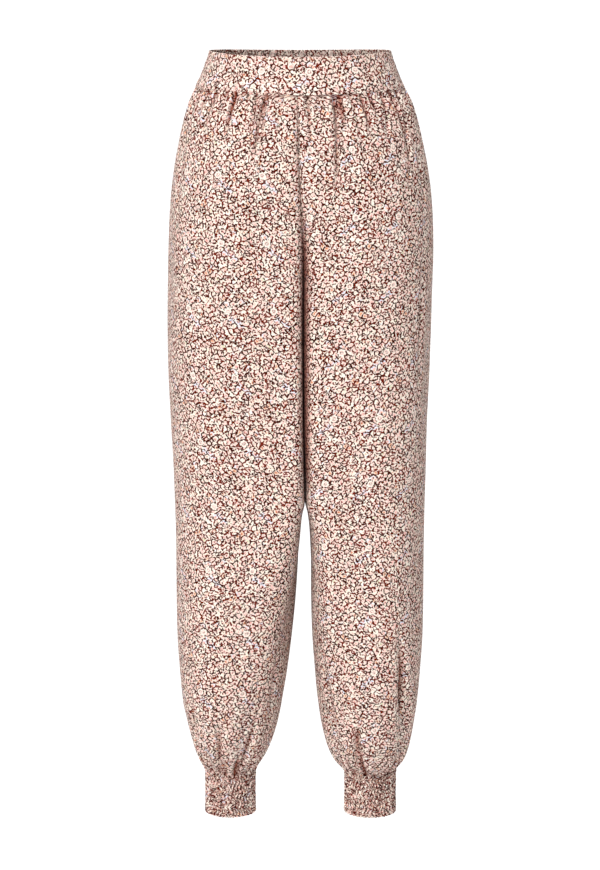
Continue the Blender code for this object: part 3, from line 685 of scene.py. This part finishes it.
def crinkle(share, drop):
    """Depth of the elastic casing's uneven ribs and of its lines of stitching."""
    wander = 0.35 * np.sin(11 * share + 0.05 * drop) + 0.22 * np.sin(29 * share - 0.11 * drop)
    main = rib(TURN * (BACK_RIBS * share + wander))
    fine = rib(TURN * (FINE_RIBS * share - 2 * wander + 0.02 * drop))
    held = sum(np.exp(-(((drop - line) / CHANNEL_WIDTH) ** 2)) for line in CHANNEL_DROPS)
    return RIB_DEPTH * main + FINE_RIB_DEPTH * fine + CHANNEL_DEPTH * held


def puckers(share, drop):
    """Shallow dents where the leg gathers pull on the smooth front band."""
    low = smoothstep(drop, 2.0, BAND_BOTTOM_DROP)
    dent = rib(TURN * (PUCKERS * share + 0.4 * np.sin(9 * share)))
    ripple = np.sin(13 * share + 1.0) * np.sin(0.12 * drop)
    return FRONT_EASE + PUCKER_DEPTH * low * dent + RIPPLE_DEPTH * ripple


Band = namedtuple("Band", "name facing columns thickness relief cloth print_start")
BANDS = [
    Band("band_front", FRONT, 240, 1.9, puckers, 1.0, (1111, 1522)),
    Band("band_back", BACK, 560, 1.7, crinkle, BACK_CLOTH, (1640, 1507)),
]


def half_band(band):
    """Half of the waistband as a closed strip, its ends turned in at the side seams."""
    share = np.linspace(0, 1, band.columns + 1)[:, None]
    bottom = BAND_BOTTOM_DROP + BAND_OVERLAP
    profile = rounded_profile(BAND_TOP_DROP, bottom, band.thickness, BAND_FACE_POINTS)
    depth_in, drop = profile.T[:, None]
    relief = band.relief(share, drop)
    from_end = np.minimum(share, 1 - share) * math.pi * BAND_TOP[0]
    turned_in = 0.5 * dip(from_end, END_TURN) * np.sign(band.thickness / 2 - depth_in)
    rings = band_points(band.facing, share, drop, depth_in + relief + turned_in)
    across, down = lengths_along(rings[:, 0])[:, None], lengths_along(np.concatenate((profile, profile[:1])))
    u, v = np.broadcast_arrays(
        band.print_start[0] + band.facing * band.cloth * across, band.print_start[1] - down
    )
    return closed_mesh(band.name, rings, u, v, RIB_SHADOW * smoothstep(relief, *RIB_SHADOW_DEPTHS))


band_front, band_back = (half_band(band) for band in BANDS)

# %% [markdown]
# ## The cuffs
#
# A cuff is a tube of cloth with rows of elastic thread sewn through it while it was stretched. Let go, the
# rows pull it into upright ribs that pucker a little at each row and stand out between them. The ribs wander
# and differ in depth, for the elastic takes up the cloth as it comes. The profile goes down the outside,
# round the hem and up the inside, and is swept all the way round.

# %% Shirred cuffs
CUFF_CENTRE_X = 94.0
CUFF_CENTRE_Y = 10.0
CUFF_RADIUS = 35.1
CUFF_WAIST = 0.6  # how much narrower a cuff is half way down
CUFF_THICKNESS = 1.5
CUFF_FACE_POINTS = 26
CUFF_RIBS = 28
FINE_CUFF_RIBS = 44
COLUMNS_A_RIB = 10
CUFF_RIB_DEPTH = 0.4
FINE_CUFF_RIB_DEPTH = 3.8
FINE_CUFF_RIB_SHARPNESS = 1.1
CUFF_SHADOW_DEPTHS = (1.2, 3.6)
CUFF_SHADOW = 0.65
SHIRRING_ROWS = 8
SHIRRING_DEPTH = 0.25
SHIRRING_PITCH = (CUFF_BOTTOM_DROP - CUFF_TOP_DROP) / SHIRRING_ROWS
Cuff = namedtuple("Cuff", "name side spread phase print_start")
CUFFS = [
    Cuff("cuff_of_left_leg", 1, 0.8, 0.7, (1322, 1218)),  # stretched a little wider than the right one
    Cuff("cuff_of_right_leg", -1, 0.0, 2.9, (1755, 1263)),
]


def shirring(share, drop, phase):
    """How far a cuff's face lies inside its widest round."""
    turn = TURN * share
    wander = 0.30 * np.sin(3 * turn + phase) + 0.20 * np.sin(7 * turn + 0.10 * drop)
    slant = 0.18 * np.sin(0.13 * drop + 4 * turn + phase)
    main = rib(CUFF_RIBS * turn + TURN * (wander + slant))
    fine = rib(FINE_CUFF_RIBS * turn - 4 * wander + 2.2 * np.sin(0.43 * drop + 2 * turn))
    row = (drop - CUFF_TOP_DROP) / SHIRRING_PITCH - 0.5
    drawn_in = (0.5 + 0.5 * np.cos(TURN * row)) ** 2
    uneven = 0.85 + 0.15 * np.sin(5 * turn + 2 * phase)
    ribs = CUFF_RIB_DEPTH * main + FINE_CUFF_RIB_DEPTH * fine**FINE_CUFF_RIB_SHARPNESS
    return uneven * ribs + SHIRRING_DEPTH * drawn_in


def cuff_points(cuff, share, drop, depth_in):
    """Points of a cuff, some depth inside its ribbed outer face."""
    way = (drop - CUFF_TOP_DROP) / (CUFF_BOTTOM_DROP - CUFF_TOP_DROP)
    radius = CUFF_RADIUS + cuff.spread - CUFF_WAIST * np.sin(math.pi * way)
    radius = radius - depth_in - shirring(share, drop, cuff.phase)
    turn = TURN * share
    x = cuff.side * (CUFF_CENTRE_X + cuff.spread + radius * np.cos(turn))
    return np.stack((x, CUFF_CENTRE_Y + radius * np.sin(turn), 0 * x - drop), -1)


def shirred_cuff(cuff):
    """One cuff, closed all the way round. Its print follows the cloth in and out of the ribs."""
    share = np.linspace(0, 1, FINE_CUFF_RIBS * COLUMNS_A_RIB, endpoint=False)[:, None]
    profile = rounded_profile(CUFF_TOP_DROP + SEAM_GAP, CUFF_BOTTOM_DROP, CUFF_THICKNESS, CUFF_FACE_POINTS)
    depth_in, drop = profile.T[:, None]
    rings = cuff_points(cuff, share, drop, depth_in)
    across = lengths_along(np.concatenate((rings, rings[:1])))
    print(f"{across[-1].mean():.0f} mm of cloth round a cuff")
    u = cuff.print_start[0] + cuff.side * np.concatenate((across, across[:, :1]), 1)
    v = cuff.print_start[1] - lengths_along(np.concatenate((profile, profile[:1]))) + 0 * u
    shadow = CUFF_SHADOW * smoothstep(shirring(share, drop, cuff.phase), *CUFF_SHADOW_DEPTHS)
    return closed_mesh(cuff.name, rings, u, v, shadow, joined=True)


cuffs = [shirred_cuff(cuff) for cuff in CUFFS]

# %% [markdown]
# ## One function for nodes, and colours
#
# Every material below is built from nodes in code. One small function adds a node, gives it its settings and
# fills its inputs, so that a chain of nodes reads like a formula. Colours are written as they look on a
# screen, in sRGB hex, and turned into the linear numbers that the renderer adds and mixes.

# %% Nodes and colours
MATH = "ShaderNodeMath"
VECTOR_MATH = "ShaderNodeVectorMath"
COMBINE = "ShaderNodeCombineXYZ"
SEPARATE = "ShaderNodeSeparateXYZ"
MIX = "ShaderNodeMix"
MAP_RANGE = "ShaderNodeMapRange"
NOISE = "ShaderNodeTexNoise"
VORONOI = "ShaderNodeTexVoronoi"
RAMP = "ShaderNodeValToRGB"
BUMP = "ShaderNodeBump"
SHADER = "ShaderNodeBsdfPrincipled"

# settings that many nodes share
SOFT = {"interpolation_type": "SMOOTHSTEP"}
RGBA = {"data_type": "RGBA"}
TIMES = {"operation": "MULTIPLY"}


def linear(colour):
    """An sRGB hex colour as linear red, green, blue and alpha."""
    parts = [int(colour[i:i + 2], 16) / 255 for i in (0, 2, 4)]
    return (*(p / 12.92 if p <= 0.04045 else ((p + 0.055) / 1.055) ** 2.4 for p in parts), 1.0)


def add_node(tree, kind, *inputs, stops=(), **settings):
    """Adds a node. Inputs are numbers, colours, sockets or nodes. Settings are its own, or named inputs."""
    node = tree.nodes.new(kind)
    named = []
    for name, value in settings.items():
        if name in node.inputs:
            named.append((node.inputs[name], value))
        else:
            setattr(node, name, value)
    for socket, value in [*zip([s for s in node.inputs if s.enabled], inputs), *named]:
        if isinstance(value, bpy.types.Node):
            value = next(s for s in value.outputs if s.enabled)
        if isinstance(value, bpy.types.NodeSocket):
            tree.links.new(value, socket)
        elif value is not None:
            socket.default_value = value
    if stops:  # a colour ramp in flat steps, as inks are
        node.color_ramp.interpolation = "CONSTANT"
        node.color_ramp.elements.remove(node.color_ramp.elements[1])
    for i, (place, colour) in enumerate(stops):
        stop = node.color_ramp.elements[0] if i == 0 else node.color_ramp.elements.new(place)
        stop.color = linear(colour)
    return node


def adder(owner):
    """add_node for the emptied tree of a material or a world."""
    owner.use_nodes = True
    owner.node_tree.nodes.clear()
    return functools.partial(add_node, owner.node_tree)


# %% [markdown]
# ## The printed viscose
#
# The cloth is a light plain weave of viscose: matt, soft, and printed all over with small blossoms that crowd
# each other, in faded pinks and creams, with broken pen lines in dark red-brown. A printed design repeats,
# here every 58 mm across and 86 mm down. The flowers are an ordinary scatter made from scratch: a Voronoi
# texture deals out crowded cells, each cell holds one blossom, and the cell's own rolled numbers turn and
# tint it. The pen follows the edges of the cells, and slow noise makes it waver and lift. Petals come from
# one cosine round the flower. This stays sharp at any size and needs no image.

# %% Blossoms that crowd each other in a repeat
REPEAT = (58.0, 86.0)
BLOSSOM_PITCH = 6.4  # from the middle of one blossom to the next
BUD_PITCH = 4.5
PEN = 1.9  # width of a pen line. The real one is nearer 1 mm, too thin to show at this distance.


def crowd(node, place, pitch, start, slant):
    """Crowded cells: the way from a cell's middle, its rolled numbers and the distance to its edge."""
    place = node("ShaderNodeMapping", place, Location=(start, start, 0), Rotation=(0, 0, slant))
    settings = {"voronoi_dimensions": "2D", "Scale": 1 / pitch, "Randomness": 0.9}
    cell = node(VORONOI, place, feature="F1", **settings)
    away = node(VECTOR_MATH, place, cell.outputs["Position"], operation="SUBTRACT")
    edge = node(VORONOI, place, feature="DISTANCE_TO_EDGE", **settings)
    return away, node(SEPARATE, cell.outputs["Color"]), node(MATH, edge, pitch, **TIMES)


def petals(node, away, turn, count, sharpness, inner, outer):
    """Distance from a flower's middle, 1 at its outline, and a wave: 1 on a petal and 0 between two."""
    parts = node(SEPARATE, away)
    angle = node(MATH, parts.outputs["Y"], parts.outputs["X"], operation="ARCTAN2")
    start = node(MATH, turn, TURN, **TIMES)
    angle = node(MATH, angle, count / 2, start, operation="MULTIPLY_ADD")
    wave = node(MATH, node(MATH, angle, operation="COSINE"), operation="ABSOLUTE")
    wave = node(MATH, wave, sharpness, operation="POWER")
    reach = node(MATH, wave, outer - inner, inner, operation="MULTIPLY_ADD")
    return node(MATH, node(VECTOR_MATH, away, operation="LENGTH"), reach, operation="DIVIDE"), wave


print(f"about {REPEAT[0] * REPEAT[1] / BLOSSOM_PITCH**2:.0f} blossoms in a repeat")


# %% The inks of the print
INK = linear("3c0d06")
RUST = linear("6c1f12")
RIM = linear("f6e8db")
TINTS = (  # the roll of a cell from which a tint is used, its petals and its throat
    (0, "f0beb5", "eab5ac"),
    (0.25, "f3dccb", "f3d3c2"),
    (0.48, "f2cac0", "eebdb2"),
    (0.68, "eab1a8", "f7dcd2"),
    (0.84, "f6f1e2", "f3d5c6"),
    (0.96, "dda27a", "c26239"),
)
PETALS = [(roll, petal) for roll, petal, _ in TINTS]
THROATS = [(roll, throat) for roll, _, throat in TINTS]
LEAVES = (
    (0, "f3e6d4"), (0.36, "e8b7ac"), (0.50, "ccd3aa"),
    (0.64, "c4d4f0"), (0.72, "cc8652"), (0.84, "fbf4e6"),
)
EYES = ((0, "e6a59b"), (0.50, "6a2a1c"), (0.62, "cf8149"), (0.76, "fffaf0"))
RING = (  # one larger, ringed blossom in a repeat, from its outline inwards: share of its size, and ink
    (1.22, INK), (0.95, RIM), (0.62, linear("ecc6bd")),
    (0.40, INK), (0.26, RIM), (0.10, INK),
)
RING_BLUR = 0.08  # share of its size over which one ink turns into the next
RIM_BLUR, LINE_BLUR = 0.5, 0.3  # distances over which a cell's pale rim and pen line begin
WOBBLE = 3.6  # how far noise pushes an outline about, from side to side
SLANT = (0.7, 0.5, 0.6)  # a noise has a grain along its own axes, so it is cut across at a slant


def hand_drawn(node, u, v):
    """A place pushed about by slow noise, on the cloth and in the repeat, and the pen's pressure and ink."""
    flat = node(COMBINE, u, v, 0)
    slanted = node("ShaderNodeMapping", flat, Rotation=SLANT)
    wobble = node(NOISE, slanted, Scale=0.26, Detail=1.5).outputs["Color"]
    centred = node(VECTOR_MATH, wobble, (0.5, 0.5, 0), operation="SUBTRACT")
    push = node(VECTOR_MATH, centred, (WOBBLE, WOBBLE, 0), **TIMES)
    flat = node(VECTOR_MATH, flat, push, operation="ADD")
    slanted = node("ShaderNodeMapping", flat, Rotation=SLANT)
    place = node(VECTOR_MATH, flat, (*REPEAT, 1), (0, 0, 0), operation="WRAP")
    # Once in a repeat the pen is heavier, which makes a darker row.
    row = node(MATH, node(MATH, v, TURN / REPEAT[1], **TIMES), operation="COSINE")
    heavier = node(MAP_RANGE, row, 0.80, 1.0, 0.0, 0.03, **SOFT)
    pen = node(MATH, node(NOISE, slanted, Scale=0.40, Detail=0.0), heavier, operation="SUBTRACT")
    redder = node(MAP_RANGE, node(NOISE, slanted, Scale=0.12), 0.42, 0.60)
    return slanted, place, pen, node(MIX, redder, INK, RUST, **RGBA)


def blossoms(node, away, rolled, pen, ink):
    """The printed colour of the blossom in a cell, and of the leaves round it."""
    turn, tint, kind = rolled.outputs["X"], rolled.outputs["Y"], rolled.outputs["Z"]
    inner, outer = 0.34 * BLOSSOM_PITCH, 0.50 * BLOSSOM_PITCH
    flower, wave = petals(node, away, turn, count=5, sharpness=0.6, inner=inner, outer=outer)
    deep = node(MAP_RANGE, flower, 0.66, 0.34, **SOFT)
    blossom = node(MIX, deep, node(RAMP, tint, stops=PETALS), node(RAMP, tint, stops=THROATS), **RGBA)
    between = node(MAP_RANGE, wave, 0.46, 0.26, **SOFT)
    cut_in = node(MAP_RANGE, flower, 0.40, 0.50, **SOFT)
    pressed = node(MAP_RANGE, pen, 0.49, 0.45, **SOFT)
    groove = node(MATH, node(MATH, between, cut_in, **TIMES), pressed, **TIMES)
    blossom = node(MIX, groove, blossom, ink, **RGBA)
    within_eye = node(MAP_RANGE, flower, 0.30, 0.18, **SOFT)
    blossom = node(MIX, within_eye, blossom, node(RAMP, kind, stops=EYES), **RGBA)
    within_flower = node(MAP_RANGE, flower, 1.05, 0.95, **SOFT)
    return node(MIX, within_flower, node(RAMP, kind, stops=LEAVES), blossom, **RGBA)


def floral_print(node, u, v):
    """The printed colour at a place of the cloth, in millimetres."""
    slanted, place, pen, ink = hand_drawn(node, u, v)
    drawn = node(MAP_RANGE, pen, 0.60, 0.55, **SOFT)
    away, rolled, edge = crowd(node, place, BLOSSOM_PITCH, 200.0, 0.5)
    colour = blossoms(node, away, rolled, pen, ink)
    pale_rim = node(MAP_RANGE, edge, PEN + RIM_BLUR, PEN - RIM_BLUR, 0.0, 0.7, **SOFT)
    colour = node(MIX, pale_rim, colour, RIM, **RGBA)
    line = node(MAP_RANGE, edge, PEN / 2 + LINE_BLUR, PEN / 2 - LINE_BLUR, **SOFT)
    colour = node(MIX, node(MATH, line, drawn, **TIMES), colour, ink, **RGBA)
    # Buds and stems fill in between, drawn in places only.
    _, _, bud_edge = crowd(node, place, BUD_PITCH, 400.0, 1.1)
    elsewhere = node(VECTOR_MATH, slanted, (0, 0, 50), operation="ADD")
    in_places = node(MAP_RANGE, node(NOISE, elsewhere, Scale=0.34, Detail=0.0), 0.48, 0.44, **SOFT)
    stem = node(MAP_RANGE, bud_edge, 0.95, 0.5, **SOFT)
    colour = node(MIX, node(MATH, stem, in_places, **TIMES), colour, ink, **RGBA)
    away = node(VECTOR_MATH, place, (REPEAT[0] / 2, REPEAT[1] / 2, 0), operation="SUBTRACT")
    ring, _ = petals(node, away, turn=0.1, count=7, sharpness=0.5, inner=3.4, outer=5.1)
    for rim, ring_ink in RING:
        inside = node(MAP_RANGE, ring, rim + RING_BLUR, rim - RING_BLUR, **SOFT)
        if ring_ink == INK:
            inside = node(MATH, inside, drawn, **TIMES)
        colour = node(MIX, inside, colour, ring_ink, **RGBA)
    return colour


# %% The cloth's material
THREAD_PITCH = 1.1  # three times as coarse as the real 0.35 mm, which is too fine to show
FADED = 0.45  # how much of the print's colour is lost on the wrong side
IN_A_FOLD = linear("9a5844")  # what is left of the light that lights a tight fold's bottom


def printed_woven_viscose():
    """Light plain-woven viscose, printed on one side: matt, with a soft bloom, paler on its wrong side."""
    material = bpy.data.materials.new("printed_woven_viscose")
    node = adder(material)
    cloth = node("ShaderNodeUVMap", uv_map="cloth")
    place = node(SEPARATE, node(VECTOR_MATH, cloth, (1 / MM, 1 / MM, 0), **TIMES))
    u, v = place.outputs["X"], place.outputs["Y"]
    colour = floral_print(node, u, v)
    wrong_side = node("ShaderNodeAttribute", attribute_name="wrong_side").outputs["Fac"]
    faded = node(MATH, wrong_side, FADED, **TIMES)
    colour = node(MIX, faded, colour, linear("f2e2d8"), **RGBA)
    # Uneven yarn makes faint streaks along both sets of threads.
    for stretch in ((1 / 1.5, 1 / 40, 0), (1 / 40, 1 / 1.5, 0)):
        along = node(VECTOR_MATH, node(COMBINE, u, v, 0), stretch, **TIMES)
        streak = node(MAP_RANGE, node(NOISE, along, Scale=1.0, Detail=2.0), 0.3, 0.7, 0.88, 0.96)
        shade = node(COMBINE, streak, streak, streak)
        colour = node(MIX, 1.0, colour, shade, blend_type="MULTIPLY", **RGBA)
    lost = node("ShaderNodeAttribute", attribute_name="fold_shadow").outputs["Fac"]
    shade = node(MIX, lost, linear("ffffff"), IN_A_FOLD, **RGBA)
    colour = node(MIX, 1.0, colour, shade, blend_type="MULTIPLY", **RGBA)
    creases = node(VECTOR_MATH, node(COMBINE, u, v, 0), (1 / 20, 1 / 46, 0), **TIMES)
    creases = node(NOISE, creases, Scale=1.0, Detail=3.0, Roughness=0.55)
    normal = node(BUMP, Height=creases, Distance=0.0012, Strength=0.6)
    turns = [node(MATH, along, TURN / THREAD_PITCH, **TIMES) for along in (u, v)]
    weave = node(MATH, *(node(MATH, turn, operation="SINE") for turn in turns), **TIMES)
    normal = node(BUMP, Height=weave, Distance=0.00004, Strength=0.4, Normal=normal)
    shader = node(
        SHADER,
        **{"Base Color": colour, "Normal": normal, "Roughness": 0.82, "IOR": 1.47},
        **{"Specular IOR Level": 0.06, "Sheen Weight": 0.02, "Sheen Roughness": 0.4},
    )
    node("ShaderNodeOutputMaterial", shader)
    print(f"{material.name}: {len(material.node_tree.nodes)} nodes")
    return material


VISCOSE = printed_woven_viscose()
for piece in (*legs.values(), band_front, band_back, *cuffs):
    piece.data.materials.append(VISCOSE)


# %% [markdown]
# ## The sewing
#
# Rows of small stitches show on the band's edges, along the elastic's channels and round the cuffs. Each row
# is a line on the cloth, and Geometry Nodes set a stitch every few millimetres along it: a stretched ball,
# turned to follow the line. One tree serves all the rows, and its sizes are inputs.

# %% A tree that sews a row of stitches along a line
def stitch_tree():
    """Geometry nodes that set stitches along the edges of a mesh."""
    tree = bpy.data.node_groups.new("row_of_stitches", "GeometryNodeTree")
    node = functools.partial(add_node, tree)
    tree.interface.new_socket("Line", in_out="INPUT", socket_type="NodeSocketGeometry")
    for name in ("Pitch", "Length", "Thickness"):
        tree.interface.new_socket(name, in_out="INPUT", socket_type="NodeSocketFloat")
    tree.interface.new_socket("Thread", in_out="INPUT", socket_type="NodeSocketMaterial")
    tree.interface.new_socket("Stitches", in_out="OUTPUT", socket_type="NodeSocketGeometry")
    given = node("NodeGroupInput").outputs
    line = node("GeometryNodeMeshToCurve", given["Line"])
    line = node("GeometryNodeResampleCurve", line, mode="LENGTH", Length=given["Pitch"])
    stitch = node("GeometryNodeMeshUVSphere", 6, 4, 0.5)
    long_and_thin = node(COMBINE, given["Length"], given["Thickness"], given["Thickness"])
    limits = {"Min": (0.85, 0.9, 0.9), "Max": (1.0, 1.1, 1.1)}
    uneven = node("FunctionNodeRandomValue", data_type="FLOAT_VECTOR", Seed=5, **limits)
    size = node(VECTOR_MATH, long_and_thin, uneven, **TIMES)
    heading = node("FunctionNodeAlignRotationToVector", Vector=node("GeometryNodeInputTangent"), axis="X")
    row = node("GeometryNodeInstanceOnPoints", line, Instance=stitch, Rotation=heading, Scale=size)
    row = node("GeometryNodeRealizeInstances", row)
    row = node("GeometryNodeSetShadeSmooth", row)
    row = node("GeometryNodeSetMaterial", row, Material=given["Thread"])
    node("NodeGroupOutput", row)
    print(f"{tree.name}: {len(tree.nodes)} nodes")
    return tree


STITCHES = stitch_tree()


def sew(name, lines, pitch, length, thickness, closed=False):
    """Stitches along lines of equally many points, as one plain mesh. Sizes are in millimetres."""
    numbers = np.arange(len(lines) * len(lines[0])).reshape(len(lines), -1)
    following = np.roll(numbers, -1, axis=1)
    if not closed:
        numbers, following = numbers[:, :-1], following[:, :-1]
    guide_mesh = bpy.data.meshes.new(f"{name}_lines")
    edges = np.column_stack((numbers.ravel(), following.ravel()))
    guide_mesh.from_pydata((np.concatenate(lines) * MM).tolist(), edges.tolist(), [])
    guide = placed(f"{name}_lines", guide_mesh)
    modifier = guide.modifiers.new("sewing", "NODES")
    modifier.node_group = STITCHES
    values = {"Pitch": pitch * MM, "Length": length * MM, "Thickness": thickness * MM, "Thread": THREAD}
    for socket in STITCHES.interface.items_tree:
        if socket.name in values:
            modifier[socket.identifier] = values[socket.name]
    sewn = guide.evaluated_get(bpy.context.evaluated_depsgraph_get())
    piece = placed(name, bpy.data.meshes.new_from_object(sewn))
    bpy.data.objects.remove(guide)
    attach(piece, "root")
    print(f"{name}: {len(piece.data.polygons)} faces")
    return piece


# %% [markdown]
# The thread is spun polyester in a dusty rose that sinks into the print: a faint shine, and a fine grain of
# fibres.

# %% Thread, and the rows that are sewn with it
def spun_polyester_thread():
    """Spun polyester sewing thread: two plies twisted together, with a faint shine."""
    material = bpy.data.materials.new("spun_polyester_thread")
    node = adder(material)
    place = node("ShaderNodeTexCoord").outputs["Object"]
    fibres = node(NOISE, place, Scale=4000.0, Detail=2.0)
    colour = node(MIX, fibres, linear("8f6155"), linear("c79c8c"), **RGBA)
    normal = node(BUMP, Height=fibres, Distance=0.00008, Strength=0.6)
    shader = node(SHADER, **{"Base Color": colour, "Normal": normal, "Roughness": 0.6, "IOR": 1.55})
    node("ShaderNodeOutputMaterial", shader)
    return material


THREAD = spun_polyester_thread()
ON_CLOTH = 0.05  # how far a stitch's middle stands out of the face
LINE_ENDS = (0.004, 0.996)  # a line along half a band stops short of the side seams
LINE_POINTS = 700
ROUND_POINTS = 840
TOP_EDGE_STITCHES = -16.5  # drops of the rows along the band's edges
BOTTOM_EDGE_STITCHES = 23.4


def band_lines(band, drops, inner=False):
    """Lines along the outer face of half a band, or along its inner face."""
    share = np.linspace(*LINE_ENDS, LINE_POINTS)
    level = band.thickness + ON_CLOTH if inner else -ON_CLOTH
    return [
        band_points(band.facing, share, drop + 0 * share, level + band.relief(share, drop + 0 * share))
        for drop in drops
    ]


lines = band_lines(BANDS[0], (TOP_EDGE_STITCHES, BOTTOM_EDGE_STITCHES))
stitches_front = sew("band_front_stitches", lines, pitch=3.2, length=2.5, thickness=0.42)
lines = band_lines(BANDS[1], (*CHANNEL_DROPS, BOTTOM_EDGE_STITCHES))
lines += band_lines(BANDS[1], CHANNEL_DROPS, inner=True)
stitches_back = sew("band_back_stitches", lines, pitch=2.7, length=2.2, thickness=0.42)
cuff_stitches = []
for cuff in CUFFS:
    share = np.arange(ROUND_POINTS) / ROUND_POINTS
    rows = [CUFF_TOP_DROP + SHIRRING_PITCH * (number + 0.5) for number in range(SHIRRING_ROWS)]
    lines = [cuff_points(cuff, share, row + 0 * share, -ON_CLOTH) for row in rows]
    sewn = sew(f"{cuff.name}_stitches", lines, pitch=2.6, length=2.0, thickness=0.38, closed=True)
    cuff_stitches.append(sewn)


# %% [markdown]
# ## What each piece stands for
#
# Each shell takes the place of the imported solid of the same sewn piece, which is hidden, and is listed with
# the size of its flat cut, in metres. Only what shows counts: seam allowances, hems turned inside and the
# gathers' last millimetres in the seams come on top of it.

# %% Replaced solids and flat cuts
Cut = namedtuple("Cut", "piece node width length area held rests_on with_pieces")
CUTS = [
    Cut(band_front, "waistband_front", 0.388, 0.048, 0.0184, "stretched", [], [stitches_front]),
    Cut(band_back, "waistband_back", 0.548, 0.048, 0.0255, "gathered", [], [stitches_back]),
    *(Cut(leg, f"panel_{panel}", 0.365, 0.955, 0.27, "gathered", [f"band_{panel.split('_')[0]}"], [])
      for panel, leg in legs.items()),
    *(Cut(piece, f"cuff_{side}", 0.364, 0.060, 0.0216, "gathered", [], [stitches])
      for piece, side, stitches in zip(cuffs, ("left", "right"), cuff_stitches)),
]
for cut in CUTS:
    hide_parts(cut.node)
print(f"{sum(cut.area for cut in CUTS):.2f} m2 of cloth shows")

# %% [markdown]
# ## Floor, light and camera
#
# A plain pale floor lies well below the hems, so that no shadow shows on it. The light is a studio's: a white
# surround, and one large soft source from the front, high on the viewer's left, so the folds shade gently to
# the right. The camera stands in front, a little above the waist, far enough back for a long lens. Sizes are
# in metres here.

# %% The studio
FLOOR_Z = -1.8
FLOOR_REACH = 80  # far enough for no horizon to show from in front
SURROUND_LIGHT = 0.54

corners = [(-1, -1), (1, -1), (1, 1), (-1, 1)]
floor_mesh = bpy.data.meshes.new("floor")
floor_mesh.from_pydata([(x * FLOOR_REACH, y * FLOOR_REACH, FLOOR_Z) for x, y in corners], [], [(0, 1, 2, 3)])
floor = placed("floor", floor_mesh)
paper = bpy.data.materials.new("matt_white_paper")
node = adder(paper)
grain = node(NOISE, node("ShaderNodeTexCoord").outputs["Object"], Scale=60.0, Detail=3.0)
tone = node(MIX, grain, linear("f4f4f4"), linear("fafafa"), **RGBA)
node("ShaderNodeOutputMaterial", node(SHADER, **{"Base Color": tone, "Roughness": 0.9}))
floor_mesh.materials.append(paper)
floor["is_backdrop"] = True

world = bpy.data.worlds.new("studio")
node = adder(world)
seen = node("ShaderNodeLightPath").outputs["Is Camera Ray"]
glow = node(MAP_RANGE, seen, 0.0, 1.0, SURROUND_LIGHT, 1.0)  # dimmer as a light than as a background
node("ShaderNodeOutputWorld", node("ShaderNodeBackground", linear("ffffff"), glow))
bpy.context.scene.world = world

lamp = bpy.data.lights.new("soft_window", "SUN")
lamp.energy = 3.4
lamp.angle = math.radians(28)
placed("soft_window", lamp).rotation_euler = (math.radians(48), 0.0, math.radians(-24))

lens = bpy.data.cameras.new("camera")
lens.lens = 109.1
lens.clip_end = 200.0
camera = placed("camera", lens)
camera.location = (0.0, -3.4, 0.19)
camera.rotation_euler = (math.radians(90 - 11.10), 0.0, 0.0)
bpy.context.scene.camera = camera
bpy.context.scene.view_settings.view_transform = "Standard"
print(f"floor {-FLOOR_Z} m below the waist, camera {-camera.location.y:.1f} m in front of it")

# %% The two boxes, and the end
added = [ob for ob in bpy.data.objects if ob.type == "MESH" and ob.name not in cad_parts]
triangles = {ob.name: sum(len(face.vertices) - 2 for face in ob.data.polygons) for ob in added}
print(f"{sum(triangles.values())} triangles in all, {max(triangles.values())} in the largest piece")
boxes = {"cad": CAD_BOX, "visual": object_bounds()}
boxes = {name: [list(map(float, corner)) for corner in box] for name, box in boxes.items()}
print(boxes)
